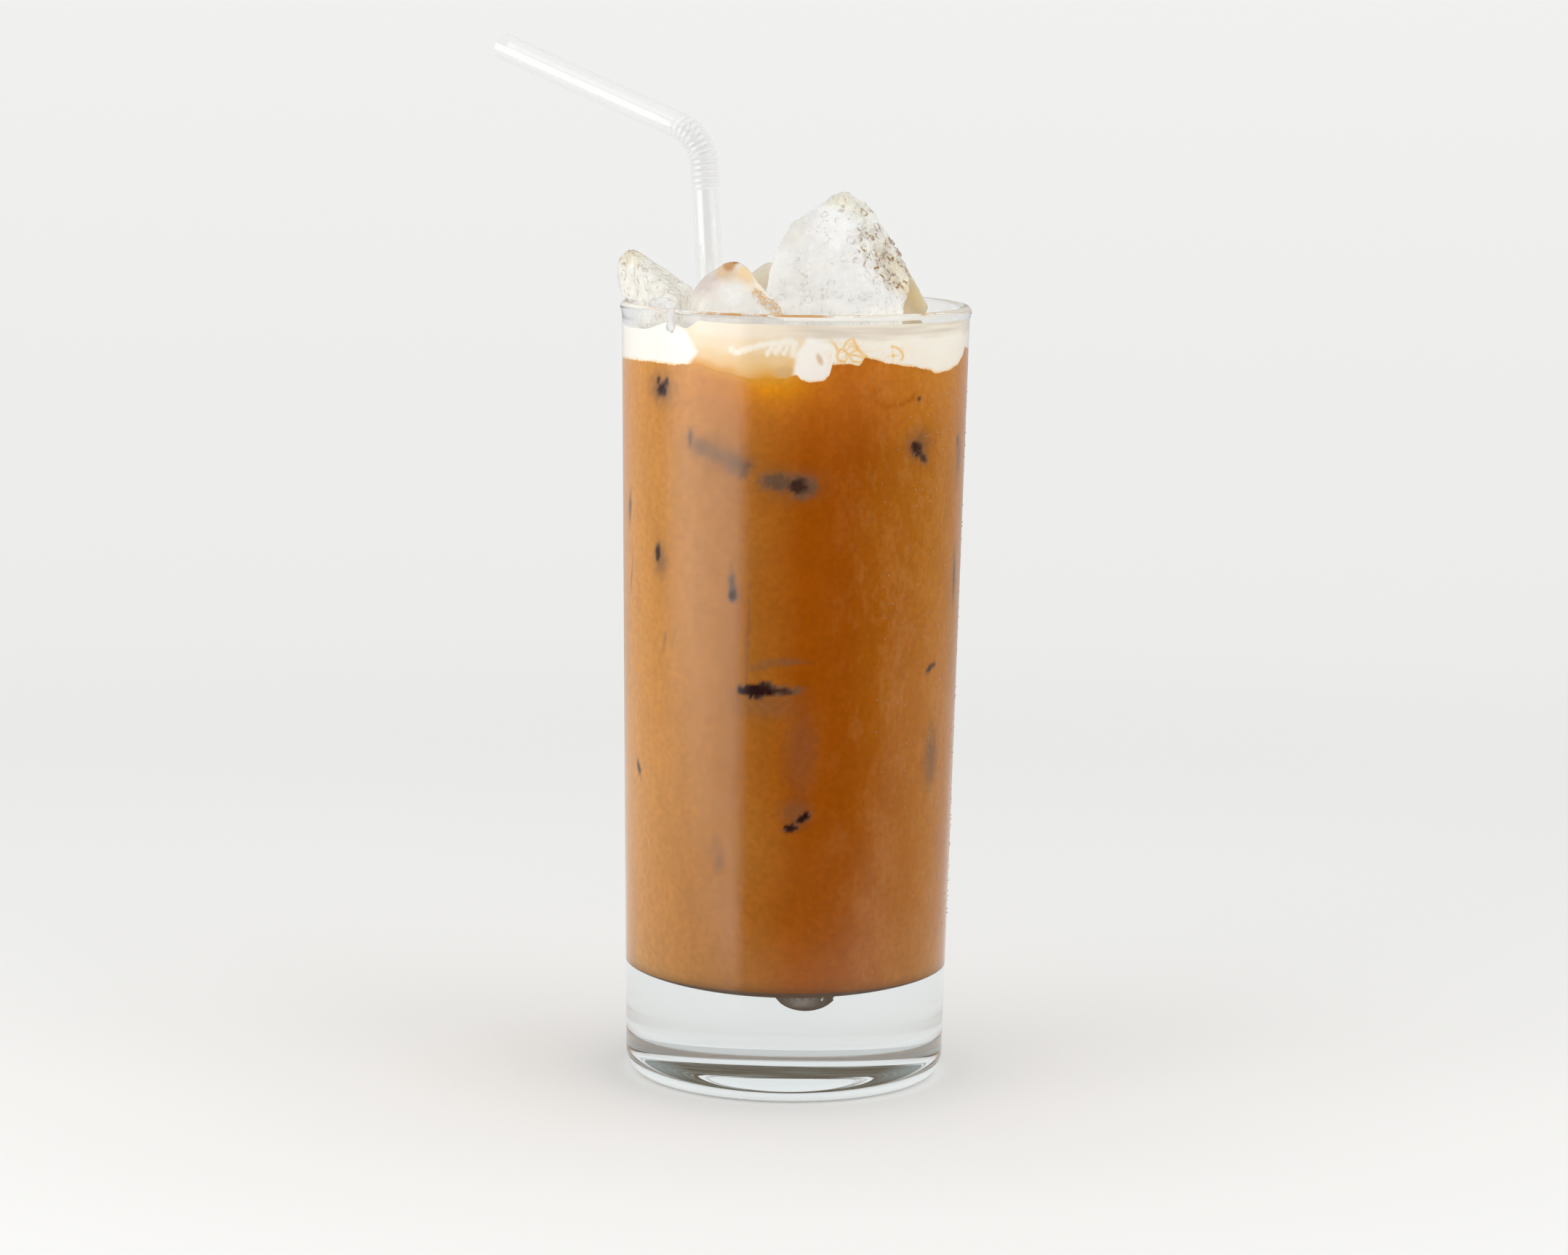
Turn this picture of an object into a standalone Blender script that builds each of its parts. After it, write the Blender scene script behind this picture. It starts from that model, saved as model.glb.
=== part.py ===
"""Iced milk coffee in a tall straight-sided glass, with a cream layer, chunks of ice and a bendable straw.

The drink stands on the glass's foot ring at z = 0. The origin is the middle of the whole object's box
on that level, so the glass's own axis lies to +X of it, because the straw's arm reaches out to -X.
Shapes are worked out about the glass's axis and moved by glass_place() when they are finished.
"""
import math

import bmesh
import bpy
from mathutils import Matrix, Vector, noise

MM = 0.001
GAP = 0.3 * MM                  # left between pieces that touch
SIDES = 60                      # facets round the glass and what fills it

# Glass: a straight, slightly tapered wall on a thick clear base.
GLASS_HEIGHT = 150.0 * MM
BASE_RADIUS = 30.85 * MM        # outer wall carried down to z = 0
MOUTH_RADIUS = 33.37 * MM       # outer wall carried up to the rim
WALL = 2.1 * MM
BEAD_PROUD = 0.35 * MM          # how far the rounded rim stands out from the wall
BEAD_HEIGHT = 2.4 * MM
HEEL_WIDTH = 2.9 * MM           # rounding between the foot ring and the wall
HEEL_HEIGHT = 4.7 * MM
FOOT_RING_WIDTH = 3.4 * MM
RECESS_DEPTH = 0.9 * MM         # underside, just inside the foot ring
RECESS_CROWN = 1.7 * MM         # underside, at the axis

# Inside of the glass: a shallow bowl for a floor, with a small off-centre pit left by the moulding.
FLOOR_HEIGHT = 17.5 * MM
FLOOR_RADIUS = 95.0 * MM
CORNER = 4.5 * MM
PIT_OFFSET = 2.65 * MM
PIT_RADIUS = 4.1 * MM
PIT_DEPTH = 3.4 * MM

# Drink: coffee below, cream floating on it. The lobes are where the cream hangs lower or sits higher
# at the wall, each as an angle from the front in degrees, a height and a half-width in degrees.
CREAM_TOP = 145.5 * MM
CREAM_BASE = 140.2 * MM
CREAM_LOBES = [(-62, -1.3 * MM, 22), (4, -3.0 * MM, 8), (24, 1.4 * MM, 9), (56, -1.9 * MM, 16),
               (84, 1.2 * MM, 10), (128, -1.2 * MM, 22), (176, 0.9 * MM, 18), (226, -1.5 * MM, 20)]
CREAM_WAVE = 0.15 * MM

# Straw: 5 mm across and 210 mm long, bent at its bellows.
STRAW_RADIUS = 2.52 * MM
STRAW_WALL = 0.4 * MM
STRAW_SIDES = 14
STRAW_KNEE = Vector((-17.75, 4.0, 171.2)) * MM     # where the bellows start
STRAW_FOOT_Z = 18.4 * MM
STRAW_LEAN = math.radians(3.5)                     # top leans to -X
STRAW_LEAN_BACK = math.radians(0.8)
BELLOWS_LENGTH = 14.4 * MM
BELLOWS_STRAIGHT = 0.30                            # share of the bellows before the bend
BELLOWS_COUNT = 12
BELLOWS_PEAK = 2.76 * MM
BELLOWS_VALLEY = 2.38 * MM
ARM_LENGTH = 42.3 * MM
ARM_RISE = math.radians(22.3)
ARM_BACK = math.radians(25.0)                      # the arm also points away from the front

# Ice: each chunk is the hull of its corners in millimetres about the glass's axis, roughened as melting
# ice is. relief is the height of the crags in millimetres and grain the size of one of them.
ICE = {
    "ice_peak": {
        "corners": [(6.3, -1, 171.2), (9.6, 0, 171.9), (13.2, 1, 169.6), (2.0, -3, 168.0), (-2.0, -4, 164.9),
                    (-5.0, -5, 159.4), (-6.6, -5, 153.4), (-5.2, -6, 137), (16.0, 2, 165.4), (20.6, 0, 159.0),
                    (22.4, -1, 155.2), (18.2, -2, 138), (3.0, -12.5, 151), (14.5, -13, 150), (3.5, -9, 159),
                    (5, -12, 138), (14, -11, 138), (2, 9.5, 152), (15, 8.5, 154), (2, 8, 138), (14, 8, 138)],
        "relief": 0.55, "grain": 3.2, "faces": 1500},
    "ice_left": {
        "corners": [(-32.5, -4, 160.0), (-32.8, 4, 159.4), (-34.6, -1, 157.2), (-34.4, 4, 153.6),
                    (-33.4, -2, 150.8), (-33.0, 5, 150.8), (-30.2, -2, 159.5), (-19.2, -5, 152.2),
                    (-21.8, 3, 152.4), (-26.5, -16.5, 152.6), (-22.4, -20.4, 151.9), (-21.8, -20.5, 143.4),
                    (-24.5, -18, 143), (-28, -4, 142), (-22.5, 0, 142)],
        "relief": 0.4, "grain": 2.6, "faces": 760},
    "ice_hump": {
        "corners": [(-13.4, -18, 158.9), (-11.4, -17.5, 159.3), (-9.6, -18.5, 158.4), (-17.4, -17, 156.3),
                    (-19.6, -17, 153.3), (-21.0, -18, 148), (-19.5, -19, 138.6), (-8.4, -20, 156.2),
                    (-7.0, -20.5, 153.4), (-2.4, -22, 149.6), (-1.2, -21, 139), (-16.5, -26.5, 150.6),
                    (-6, -31, 149.4), (-17, -26.5, 139), (-4, -31, 138.6), (-14, -10.5, 152), (-7.5, -11.5, 151),
                    (-12, -9.5, 139), (-6, -12, 139)],
        "relief": 0.25, "grain": 4.0, "faces": 700},
    "ice_back_right": {
        "corners": [(16.0, 15, 162.9), (18.6, 14.5, 161.7), (20.2, 15, 159.3), (13, 20, 158), (24.4, 15, 151.8),
                    (26.2, 15.3, 148.4), (21, 21.5, 150), (12, 14, 153), (12, 25, 147), (23.5, 17, 140),
                    (12, 14, 140), (12, 25, 140), (20, 22, 140)],
        "relief": 0.3, "grain": 3.0, "faces": 420},
    "ice_back_middle": {
        "corners": [(-10.2, 15, 154.2), (-6.4, 14, 157.0), (-2.8, 16, 156.8), (5.5, 17, 156.0), (-12, 18, 148),
                    (6, 26, 151), (-8, 25, 150), (-1.6, 14, 150), (-10, 24, 140), (6, 27, 140),
                    (-11, 13.5, 140), (6, 14, 140)],
        "relief": 0.3, "grain": 3.0, "faces": 420},
}
HULL_VOXEL = 0.9 * MM           # fineness of the ice before its flat stretches are thinned out
ROOM_FACES = 0.35               # share of a chunk's faces kept where it cuts the drink
ROOM_SWELL = 0.55 * MM

COLOURS = {                     # base colour, roughness, how much light passes through
    "glass": ((0.90, 0.95, 0.95), 0.02, 1.0),
    "coffee": ((0.42, 0.17, 0.05), 0.35, 0.0),
    "cream": ((0.93, 0.84, 0.66), 0.40, 0.0),
    "ice": ((0.93, 0.94, 0.94), 0.12, 0.9),
    "straw": ((0.96, 0.97, 0.98), 0.15, 0.9),
}


def outer_radius(z):
    return BASE_RADIUS + (MOUTH_RADIUS - BASE_RADIUS) * z / GLASS_HEIGHT


def floor_z(r):
    return FLOOR_HEIGHT + FLOOR_RADIUS - math.sqrt(FLOOR_RADIUS ** 2 - r ** 2)


def arc_points(centre, radii, start, stop, steps):
    """Points of an elliptical arc in the (r, z) plane, with angles in degrees from +r."""
    points = []
    for i in range(steps + 1):
        a = math.radians(start + (stop - start) * i / steps)
        points.append((centre[0] + radii[0] * math.cos(a), centre[1] + radii[1] * math.sin(a)))
    return points


def cavity_profile(inset, top):
    """(r, z) points of the glass's inside from the axis up to height top, drawn in by inset."""
    def wall_radius(z):
        return outer_radius(z) - WALL - inset
    corner_r = wall_radius(FLOOR_HEIGHT) - CORNER
    start = (corner_r, floor_z(corner_r) + inset)
    end_z = floor_z(corner_r) + CORNER + inset
    end = (wall_radius(end_z), end_z)
    control = (wall_radius(start[1]) + 0.2 * MM, start[1] + 0.4 * MM)
    points = [(0.0, FLOOR_HEIGHT + inset)]
    for r in (9 * MM, 17 * MM):
        points.append((r, floor_z(r) + inset))
    for i in range(5):
        t = i / 4
        points.append(tuple((1 - t) ** 2 * a + 2 * t * (1 - t) * b + t * t * c
                            for a, b, c in zip(start, control, end)))
    points.append((wall_radius(top), top))
    return points


def glass_profile():
    """(r, z) points of the glass's wall section, from the axis underneath round to the axis inside."""
    foot_outer = BASE_RADIUS - HEEL_WIDTH
    foot_inner = foot_outer - FOOT_RING_WIDTH
    points = [(0.0, RECESS_CROWN), (foot_inner * 0.55, RECESS_CROWN * 0.9),
              (foot_inner - 1.2 * MM, RECESS_DEPTH), (foot_inner, 0.0)]
    points += arc_points((foot_outer, HEEL_HEIGHT), (outer_radius(HEEL_HEIGHT) - foot_outer, HEEL_HEIGHT),
                         -90, 0, 4)
    bead_bottom = GLASS_HEIGHT - BEAD_HEIGHT
    points.append((outer_radius(bead_bottom), bead_bottom))
    bead_half = (WALL + BEAD_PROUD) / 2
    bead_centre = (outer_radius(GLASS_HEIGHT) + BEAD_PROUD - bead_half, GLASS_HEIGHT - bead_half)
    points += arc_points(bead_centre, (bead_half, bead_half), 0, 180, 6)
    inside = cavity_profile(0.0, GLASS_HEIGHT - BEAD_HEIGHT)
    return points + inside[::-1]


def revolve(bm, profile, sides=SIDES):
    """Turns an (r, z) profile round the axis. A point at r = 0 becomes a pole."""
    rings = []
    for r, z in profile:
        if r == 0.0:
            rings.append([bm.verts.new((0, 0, z))])
        else:
            rings.append([bm.verts.new((r * math.sin(a), -r * math.cos(a), z))
                          for a in (2 * math.pi * i / sides for i in range(sides))])
    for low, high in zip(rings, rings[1:]):
        join_rings(bm, low, high)
    return rings


def join_rings(bm, low, high):
    sides = max(len(low), len(high))
    for i in range(sides):
        j = (i + 1) % sides
        if len(low) == 1:
            bm.faces.new((low[0], high[j], high[i]))
        elif len(high) == 1:
            bm.faces.new((low[i], low[j], high[0]))
        else:
            bm.faces.new((low[i], low[j], high[j], high[i]))


def make_object(name, bm):
    """Makes an object of a bmesh drawn about the glass's axis, in the object's own frame."""
    bmesh.ops.recalc_face_normals(bm, faces=bm.faces)
    mesh = bpy.data.meshes.new(name)
    bm.to_mesh(mesh)
    bm.free()
    obj = bpy.data.objects.new(name, mesh)
    bpy.context.collection.objects.link(obj)
    return obj


def apply_modifiers(obj):
    depsgraph = bpy.context.evaluated_depsgraph_get()
    mesh = bpy.data.meshes.new_from_object(obj.evaluated_get(depsgraph), depsgraph=depsgraph)
    obj.modifiers.clear()
    obj.data = mesh


def combine(obj, other, operation, keep_other=False):
    """Applies a Boolean of other to obj, then removes other unless it is still needed."""
    step = obj.modifiers.new("combine", "BOOLEAN")
    step.operation = operation
    step.object = other
    step.solver = "EXACT"
    bpy.context.view_layer.update()
    apply_modifiers(obj)
    if not keep_other:
        bpy.data.objects.remove(other, do_unlink=True)


def keep_largest(obj):
    """Drops the loose scraps that cutting leaves, and keeps the one body."""
    bm = bmesh.new()
    bm.from_mesh(obj.data)
    bmesh.ops.remove_doubles(bm, verts=bm.verts, dist=0.004 * MM)
    unseen = set(bm.verts)
    bodies = []
    while unseen:
        body, front = set(), [unseen.pop()]
        while front:
            vert = front.pop()
            body.add(vert)
            for edge in vert.link_edges:
                other = edge.other_vert(vert)
                if other in unseen:
                    unseen.remove(other)
                    front.append(other)
        bodies.append(body)
    bodies.sort(key=len)
    for body in bodies[:-1]:
        bmesh.ops.delete(bm, geom=list(body), context="VERTS")
    bm.to_mesh(obj.data)
    bm.free()


def finish(obj, colour, smooth_angle=35):
    """Moves a piece from the glass's axis to its place and gives it its shading and material."""
    obj.data.transform(glass_place())
    obj.data.shade_smooth()
    obj.data.set_sharp_from_angle(angle=math.radians(smooth_angle))
    base, roughness, clear = COLOURS[colour]
    material = bpy.data.materials.get(colour) or bpy.data.materials.new(colour)
    material.use_nodes = True
    shader = material.node_tree.nodes["Principled BSDF"]
    shader.inputs["Base Color"].default_value = (*base, 1.0)
    shader.inputs["Roughness"].default_value = roughness
    shader.inputs["Transmission Weight"].default_value = clear
    obj.data.materials.clear()
    obj.data.materials.append(material)


def straw_directions():
    shaft = Vector((-math.sin(STRAW_LEAN), math.sin(STRAW_LEAN_BACK), math.cos(STRAW_LEAN))).normalized()
    flat = math.cos(ARM_BACK)
    arm = Vector((-math.cos(ARM_RISE) * flat, math.sin(ARM_BACK), math.sin(ARM_RISE) * flat)).normalized()
    return shaft, arm


def straw_stations():
    """Points along the straw's centre line, each with its direction and the tube's outer radius there."""
    shaft, arm = straw_directions()
    foot = STRAW_KNEE - shaft * ((STRAW_KNEE.z - STRAW_FOOT_Z) / shaft.z)
    stations = [(foot, shaft, STRAW_RADIUS), (STRAW_KNEE - shaft * 0.6 * MM, shaft, STRAW_RADIUS)]
    shape = ((0.0, BELLOWS_VALLEY), (0.3, BELLOWS_PEAK), (0.7, BELLOWS_PEAK))
    marks = [((i + at) / BELLOWS_COUNT, radius) for i in range(BELLOWS_COUNT) for at, radius in shape]
    marks.append((1.0, BELLOWS_VALLEY))
    point, done, steps = STRAW_KNEE.copy(), 0.0, 8
    for share, radius in marks:
        for _ in range(steps):
            middle = done + (share - done) / (2 * steps)
            point = point + bend_direction(shaft, arm, middle) * ((share - done) / steps * BELLOWS_LENGTH)
        done = share
        stations.append((point.copy(), bend_direction(shaft, arm, share), radius))
    stations.append((point + arm * 0.6 * MM, arm, STRAW_RADIUS))
    stations.append((point + arm * ARM_LENGTH, arm, STRAW_RADIUS))
    return stations


def bend_direction(shaft, arm, share):
    turn = max(0.0, (share - BELLOWS_STRAIGHT) / (1 - BELLOWS_STRAIGHT))
    return shaft.slerp(arm, turn).normalized() if turn > 0 else shaft


def tube_ring(bm, centre, direction, radius, sides=STRAW_SIDES):
    """A ring of vertices square to direction, started from the front so that neighbours line up."""
    across = direction.cross(Vector((0, -1, 0))).normalized()
    front = across.cross(direction).normalized()
    return [bm.verts.new(centre + (front * math.cos(a) + across * math.sin(a)) * radius)
            for a in (2 * math.pi * i / sides for i in range(sides))]


def make_straw():
    bm = bmesh.new()
    stations = straw_stations()
    outer = [tube_ring(bm, p, d, r) for p, d, r in stations]
    inner = [tube_ring(bm, p, d, r - STRAW_WALL) for p, d, r in stations]
    for rings in (outer, inner):
        for low, high in zip(rings, rings[1:]):
            join_rings(bm, low, high)
    join_rings(bm, outer[0], inner[0])
    join_rings(bm, outer[-1], inner[-1])
    return make_object("straw", bm)


def straw_room():
    """A cutter for the drink: the straw's shaft with the gap round it, run past both ends."""
    shaft, _ = straw_directions()
    bm = bmesh.new()
    low = tube_ring(bm, STRAW_KNEE - shaft * 166 * MM, shaft, STRAW_RADIUS + 1.25 * GAP)
    high = tube_ring(bm, STRAW_KNEE, shaft, STRAW_RADIUS + 1.25 * GAP)
    join_rings(bm, low, high)
    bm.faces.new(low)
    bm.faces.new(high)
    return make_object("straw_room", bm)


def make_pit(name, inset):
    bm = bmesh.new()
    bmesh.ops.create_uvsphere(bm, u_segments=20, v_segments=12, radius=PIT_RADIUS - inset)
    centre = Vector((PIT_OFFSET, 0, FLOOR_HEIGHT - PIT_DEPTH + PIT_RADIUS))
    bmesh.ops.translate(bm, verts=bm.verts, vec=centre)
    return make_object(name, bm)


def make_glass():
    bm = bmesh.new()
    revolve(bm, glass_profile())
    glass = make_object("glass", bm)
    combine(glass, make_pit("pit", 0.0), "DIFFERENCE")
    return glass


def cream_level(angle, share):
    """Height of the line between coffee and cream, at an angle from the front and a share of the radius."""
    degrees = math.degrees(angle) % 360
    height = 0.0
    for at, rise, half in CREAM_LOBES:
        away = (degrees - at + 180) % 360 - 180
        height += rise * math.exp(-(away / half) ** 2 * 1.4)
    return CREAM_BASE + height * max(0.0, share * 2 - 1)


def cream_surface(angle, share):
    wave = math.sin(3 * angle + 5 * share) + math.sin(2 * angle - 4 * share + 1.0)
    return CREAM_TOP + CREAM_WAVE * wave * share


def layer_rings(bm, height, rings=4):
    """A disc of the glass's inside at the height that height(angle, share of the radius) gives."""
    made = [[bm.verts.new((0, 0, height(0.0, 0.0)))]]
    for k in range(1, rings + 1):
        share = k / rings
        ring = []
        for i in range(SIDES):
            a = 2 * math.pi * i / SIDES
            z = height(a, share)
            r = (outer_radius(z) - WALL - GAP) * share
            ring.append(bm.verts.new((r * math.sin(a), -r * math.cos(a), z)))
        made.append(ring)
    for low, high in zip(made, made[1:]):
        join_rings(bm, low, high)
    return made


def make_coffee():
    bm = bmesh.new()
    top = layer_rings(bm, lambda angle, share: cream_level(angle, share) - GAP / 2)
    side = cavity_profile(GAP, CREAM_BASE)[:-1]
    body = revolve(bm, side)
    join_rings(bm, body[-1], top[-1])
    coffee = make_object("coffee", bm)
    combine(coffee, make_pit("pit_fill", GAP), "UNION")
    return coffee


def make_cream():
    bm = bmesh.new()
    base = layer_rings(bm, lambda angle, share: cream_level(angle, share) + GAP / 2)
    top = layer_rings(bm, cream_surface)
    join_rings(bm, base[-1], top[-1])
    return make_object("cream", bm)


def roughen(obj, relief, grain):
    """Moves each point along its normal by noise of two sizes, less where it is flat and old."""
    normals = [v.normal.copy() for v in obj.data.vertices]
    for vert, normal in zip(obj.data.vertices, normals):
        place = vert.co / (grain * MM)
        lump = noise.noise(place) + 0.5 * noise.noise(place * 2.3 + Vector((7, 3, 1)))
        broad = noise.noise(place * 0.3 + Vector((2, 9, 4)))
        vert.co += normal * (lump * relief + broad * relief * 0.8) * MM
    obj.data.update()


def make_ice(name, corners, relief, grain, faces):
    bm = bmesh.new()
    for corner in corners:
        bm.verts.new(Vector(corner) * MM)
    hull = bmesh.ops.convex_hull(bm, input=bm.verts)
    loose = {g for g in hull["geom_interior"] + hull["geom_unused"] if isinstance(g, bmesh.types.BMVert)}
    bmesh.ops.delete(bm, geom=list(loose), context="VERTS")
    chunk = make_object(name, bm)
    remesh = chunk.modifiers.new("even", "REMESH")
    remesh.mode = "VOXEL"
    remesh.voxel_size = HULL_VOXEL
    apply_modifiers(chunk)
    roughen(chunk, relief, grain)
    combine(chunk, make_wall_room(), "DIFFERENCE")
    thin = chunk.modifiers.new("thin", "DECIMATE")
    thin.use_collapse_triangulate = True
    thin.ratio = faces / sum(len(p.vertices) - 2 for p in chunk.data.polygons)
    apply_modifiers(chunk)
    keep_largest(chunk)
    return chunk


def make_wall_room():
    """A cutter that keeps the ice off the glass: a ring filled from the cavity's wall outwards."""
    top, bottom, reach = GLASS_HEIGHT + GAP, 60 * MM, 60 * MM
    clear = WALL + 2 * GAP
    bm = bmesh.new()
    rings = revolve(bm, [(outer_radius(bottom) - clear, bottom), (reach, bottom), (reach, top),
                         (outer_radius(top) - clear, top)])
    join_rings(bm, rings[-1], rings[0])
    return make_object("wall_room", bm)


def ice_room(chunk):
    """A plainer copy of a chunk swollen by the gap and what it lost, to cut the drink with."""
    room = bpy.data.objects.new(chunk.name + "_room", chunk.data.copy())
    bpy.context.collection.objects.link(room)
    thin = room.modifiers.new("thin", "DECIMATE")
    thin.ratio = ROOM_FACES
    apply_modifiers(room)
    normals = [v.normal.copy() for v in room.data.vertices]
    for vert, normal in zip(room.data.vertices, normals):
        vert.co += normal * ROOM_SWELL
    return room


def glass_place():
    """The move from the glass's axis to the object's frame, centred between the straw's tip and the rim."""
    tip, direction, radius = straw_stations()[-1]
    reach = tip.x - radius * math.sqrt(1 - direction.x ** 2)
    rim = outer_radius(GLASS_HEIGHT) + BEAD_PROUD
    return Matrix.Translation((-(reach + rim) / 2, 0, 0))


def build():
    for obj in list(bpy.data.objects):
        bpy.data.objects.remove(obj, do_unlink=True)
    glass = make_glass()
    coffee = make_coffee()
    cream = make_cream()
    straw = make_straw()
    chunks = [make_ice(name, **size) for name, size in ICE.items()]
    for layer in (coffee, cream):
        for chunk in chunks:
            combine(layer, ice_room(chunk), "DIFFERENCE")
        combine(layer, straw_room(), "DIFFERENCE")
        keep_largest(layer)
    finish(glass, "glass", 40)
    finish(coffee, "coffee")
    finish(cream, "cream", 50)
    finish(straw, "straw", 50)
    for chunk in chunks:
        finish(chunk, "ice", 60)


build()
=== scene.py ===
import math

import bmesh
import bpy
from mathutils import Matrix, Vector, noise


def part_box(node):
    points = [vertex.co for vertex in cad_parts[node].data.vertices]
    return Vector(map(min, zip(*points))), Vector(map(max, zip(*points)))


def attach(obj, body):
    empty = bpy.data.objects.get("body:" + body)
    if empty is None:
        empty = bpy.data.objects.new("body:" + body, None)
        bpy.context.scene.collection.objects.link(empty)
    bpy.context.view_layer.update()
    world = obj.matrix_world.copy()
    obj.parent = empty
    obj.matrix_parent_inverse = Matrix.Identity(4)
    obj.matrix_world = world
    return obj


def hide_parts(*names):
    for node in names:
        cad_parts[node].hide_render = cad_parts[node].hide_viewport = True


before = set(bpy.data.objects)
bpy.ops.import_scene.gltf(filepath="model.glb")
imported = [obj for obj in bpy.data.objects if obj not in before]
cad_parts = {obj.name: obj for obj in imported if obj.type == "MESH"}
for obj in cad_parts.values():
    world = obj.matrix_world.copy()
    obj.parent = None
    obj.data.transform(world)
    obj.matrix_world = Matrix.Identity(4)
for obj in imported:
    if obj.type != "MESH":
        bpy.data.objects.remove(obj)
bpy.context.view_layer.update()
print("frame loaded:", sorted(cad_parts))

mm = 0.001
glassLow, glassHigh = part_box("glass")
axisX = (glassLow.x + glassHigh.x) / 2
glassHeight = glassHigh.z

# The same driving sizes as the solid that the glass stands for, in metres.
glassShape = {
    "baseRadius": 30.85 * mm,      # outer wall carried down to the table
    "mouthRadius": 33.37 * mm,     # outer wall carried up to the rim
    "wall": 2.1 * mm,
    "beadProud": 0.35 * mm,
    "beadHeight": 2.4 * mm,
    "heelWidth": 2.9 * mm,
    "heelHeight": 4.7 * mm,
    "footRing": 3.4 * mm,
    "recessDepth": 0.9 * mm,
    "recessCrown": 1.7 * mm,
    "floorHeight": 17.5 * mm,      # lowest point of the bowl-shaped floor
    "floorRadius": 95.0 * mm,
    "corner": 4.5 * mm,
    "pitOffset": 2.65 * mm,
    "pitRadius": 4.1 * mm,
    "pitDepth": 3.4 * mm,
    "sides": 240,
}


def linear(hexColour):
    values = []
    for i in (1, 3, 5):
        c = int(hexColour[i:i + 2], 16) / 255
        values.append(c / 12.92 if c <= 0.04045 else ((c + 0.055) / 1.055) ** 2.4)
    return (*values, 1.0)


# Adds a node with its inputs and settings. A node given as an input stands for its first output.
def addNode(tree, kind, inputs=None, **settings):
    made = tree.nodes.new(kind)
    for key, value in settings.items():
        setattr(made, key, value)
    for key, value in (inputs or {}).items():
        if isinstance(value, bpy.types.Node):
            value = value.outputs[0]
        if isinstance(value, bpy.types.NodeSocket):
            tree.links.new(value, made.inputs[key])
        else:
            made.inputs[key].default_value = value
    return made


smooth = {"interpolation_type": "SMOOTHSTEP"}


def newMaterial(name):
    material = bpy.data.materials.new(name)
    material.use_nodes = True
    material.node_tree.nodes.clear()
    return material, material.node_tree


# Light that falls through a clear piece on its way to a lamp goes straight on, dimmed to this colour.
def lightPassing(tree, body, colour):
    path = addNode(tree, "ShaderNodeLightPath")
    passing = addNode(tree, "ShaderNodeBsdfTransparent", {"Color": linear(colour)})
    return addNode(tree, "ShaderNodeMixShader", {"Fac": path.outputs["Is Shadow Ray"], 1: body, 2: passing})


def smoothStep(low, high, value):
    t = min(1.0, max(0.0, (value - low) / (high - low)))
    return t * t * (3 - 2 * t)


def mixed(a, b, t):
    return tuple(x + (y - x) * t for x, y in zip(a, b))


def turnApart(a, b):               # degrees from b to a, the short way round
    return (a - b + 180) % 360 - 180


def placed(name, data):
    obj = bpy.data.objects.new(name, data)
    bpy.context.collection.objects.link(obj)
    return obj


def placedMesh(name, bm):
    mesh = bpy.data.meshes.new(name)
    bm.to_mesh(mesh)
    bm.free()
    return placed(name, mesh)


# Gives a piece its material, shading and place in the frame.
def dressed(obj, material, slot, *nodes, smoothAngle=None):
    obj.data.materials.clear()
    obj.data.materials.append(material)
    obj.data.shade_smooth()
    if smoothAngle:
        obj.data.set_sharp_from_angle(angle=math.radians(smoothAngle))
    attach(obj, "root")
    if nodes:
        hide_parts(*nodes)
    return obj


def pieceFrom(name, verts, faces, material, slot, *nodes, smoothAngle=None):
    mesh = bpy.data.meshes.new(name)
    mesh.from_pydata(verts, [], faces)
    mesh.validate()
    return dressed(placed(name, mesh), material, slot, *nodes, smoothAngle=smoothAngle)


def bakeModifiers(obj):
    graph = bpy.context.evaluated_depsgraph_get()
    mesh = bpy.data.meshes.new_from_object(obj.evaluated_get(graph), depsgraph=graph)
    obj.modifiers.clear()
    obj.data = mesh
    return obj


def paint(obj, name, colours):
    layer = obj.data.color_attributes.new(name, "FLOAT_COLOR", "POINT")
    layer.data.foreach_set("color", [c for colour in colours for c in colour])


# The camera stands where the photograph's did: low, a little above the rim, with a slight roll.
camera = {
    "distance": 880.0 * mm,
    "height": 212.9 * mm,
    "pitch": 8.139,                # degrees below level
    "yaw": -0.085,
    "roll": 0.933,
    "focalPixels": 6312.8,
    "imageWide": 2156,             # pixels
    "sensor": 36.0,                # millimetres
}


def placeCamera():
    pitch, yaw, roll = (math.radians(camera[k]) for k in ("pitch", "yaw", "roll"))
    level = math.cos(pitch)
    forward = Vector((math.sin(yaw) * level, math.cos(yaw) * level, -math.sin(pitch)))
    right = Vector((math.cos(yaw), -math.sin(yaw), 0))
    up = right.cross(forward)
    turnedRight = right * math.cos(roll) + up * math.sin(roll)
    turnedUp = up * math.cos(roll) - right * math.sin(roll)
    data = bpy.data.cameras.new("photoCamera")
    data.sensor_width = camera["sensor"]
    data.lens = camera["focalPixels"] / camera["imageWide"] * camera["sensor"]
    data.clip_start, data.clip_end = 0.01, 50
    obj = placed("photoCamera", data)
    basis = Matrix((turnedRight, turnedUp, -forward)).transposed().to_4x4()
    obj.matrix_world = Matrix.Translation((axisX, -camera["distance"], camera["height"])) @ basis
    bpy.context.scene.camera = obj


placeCamera()
print("camera placed")


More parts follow.
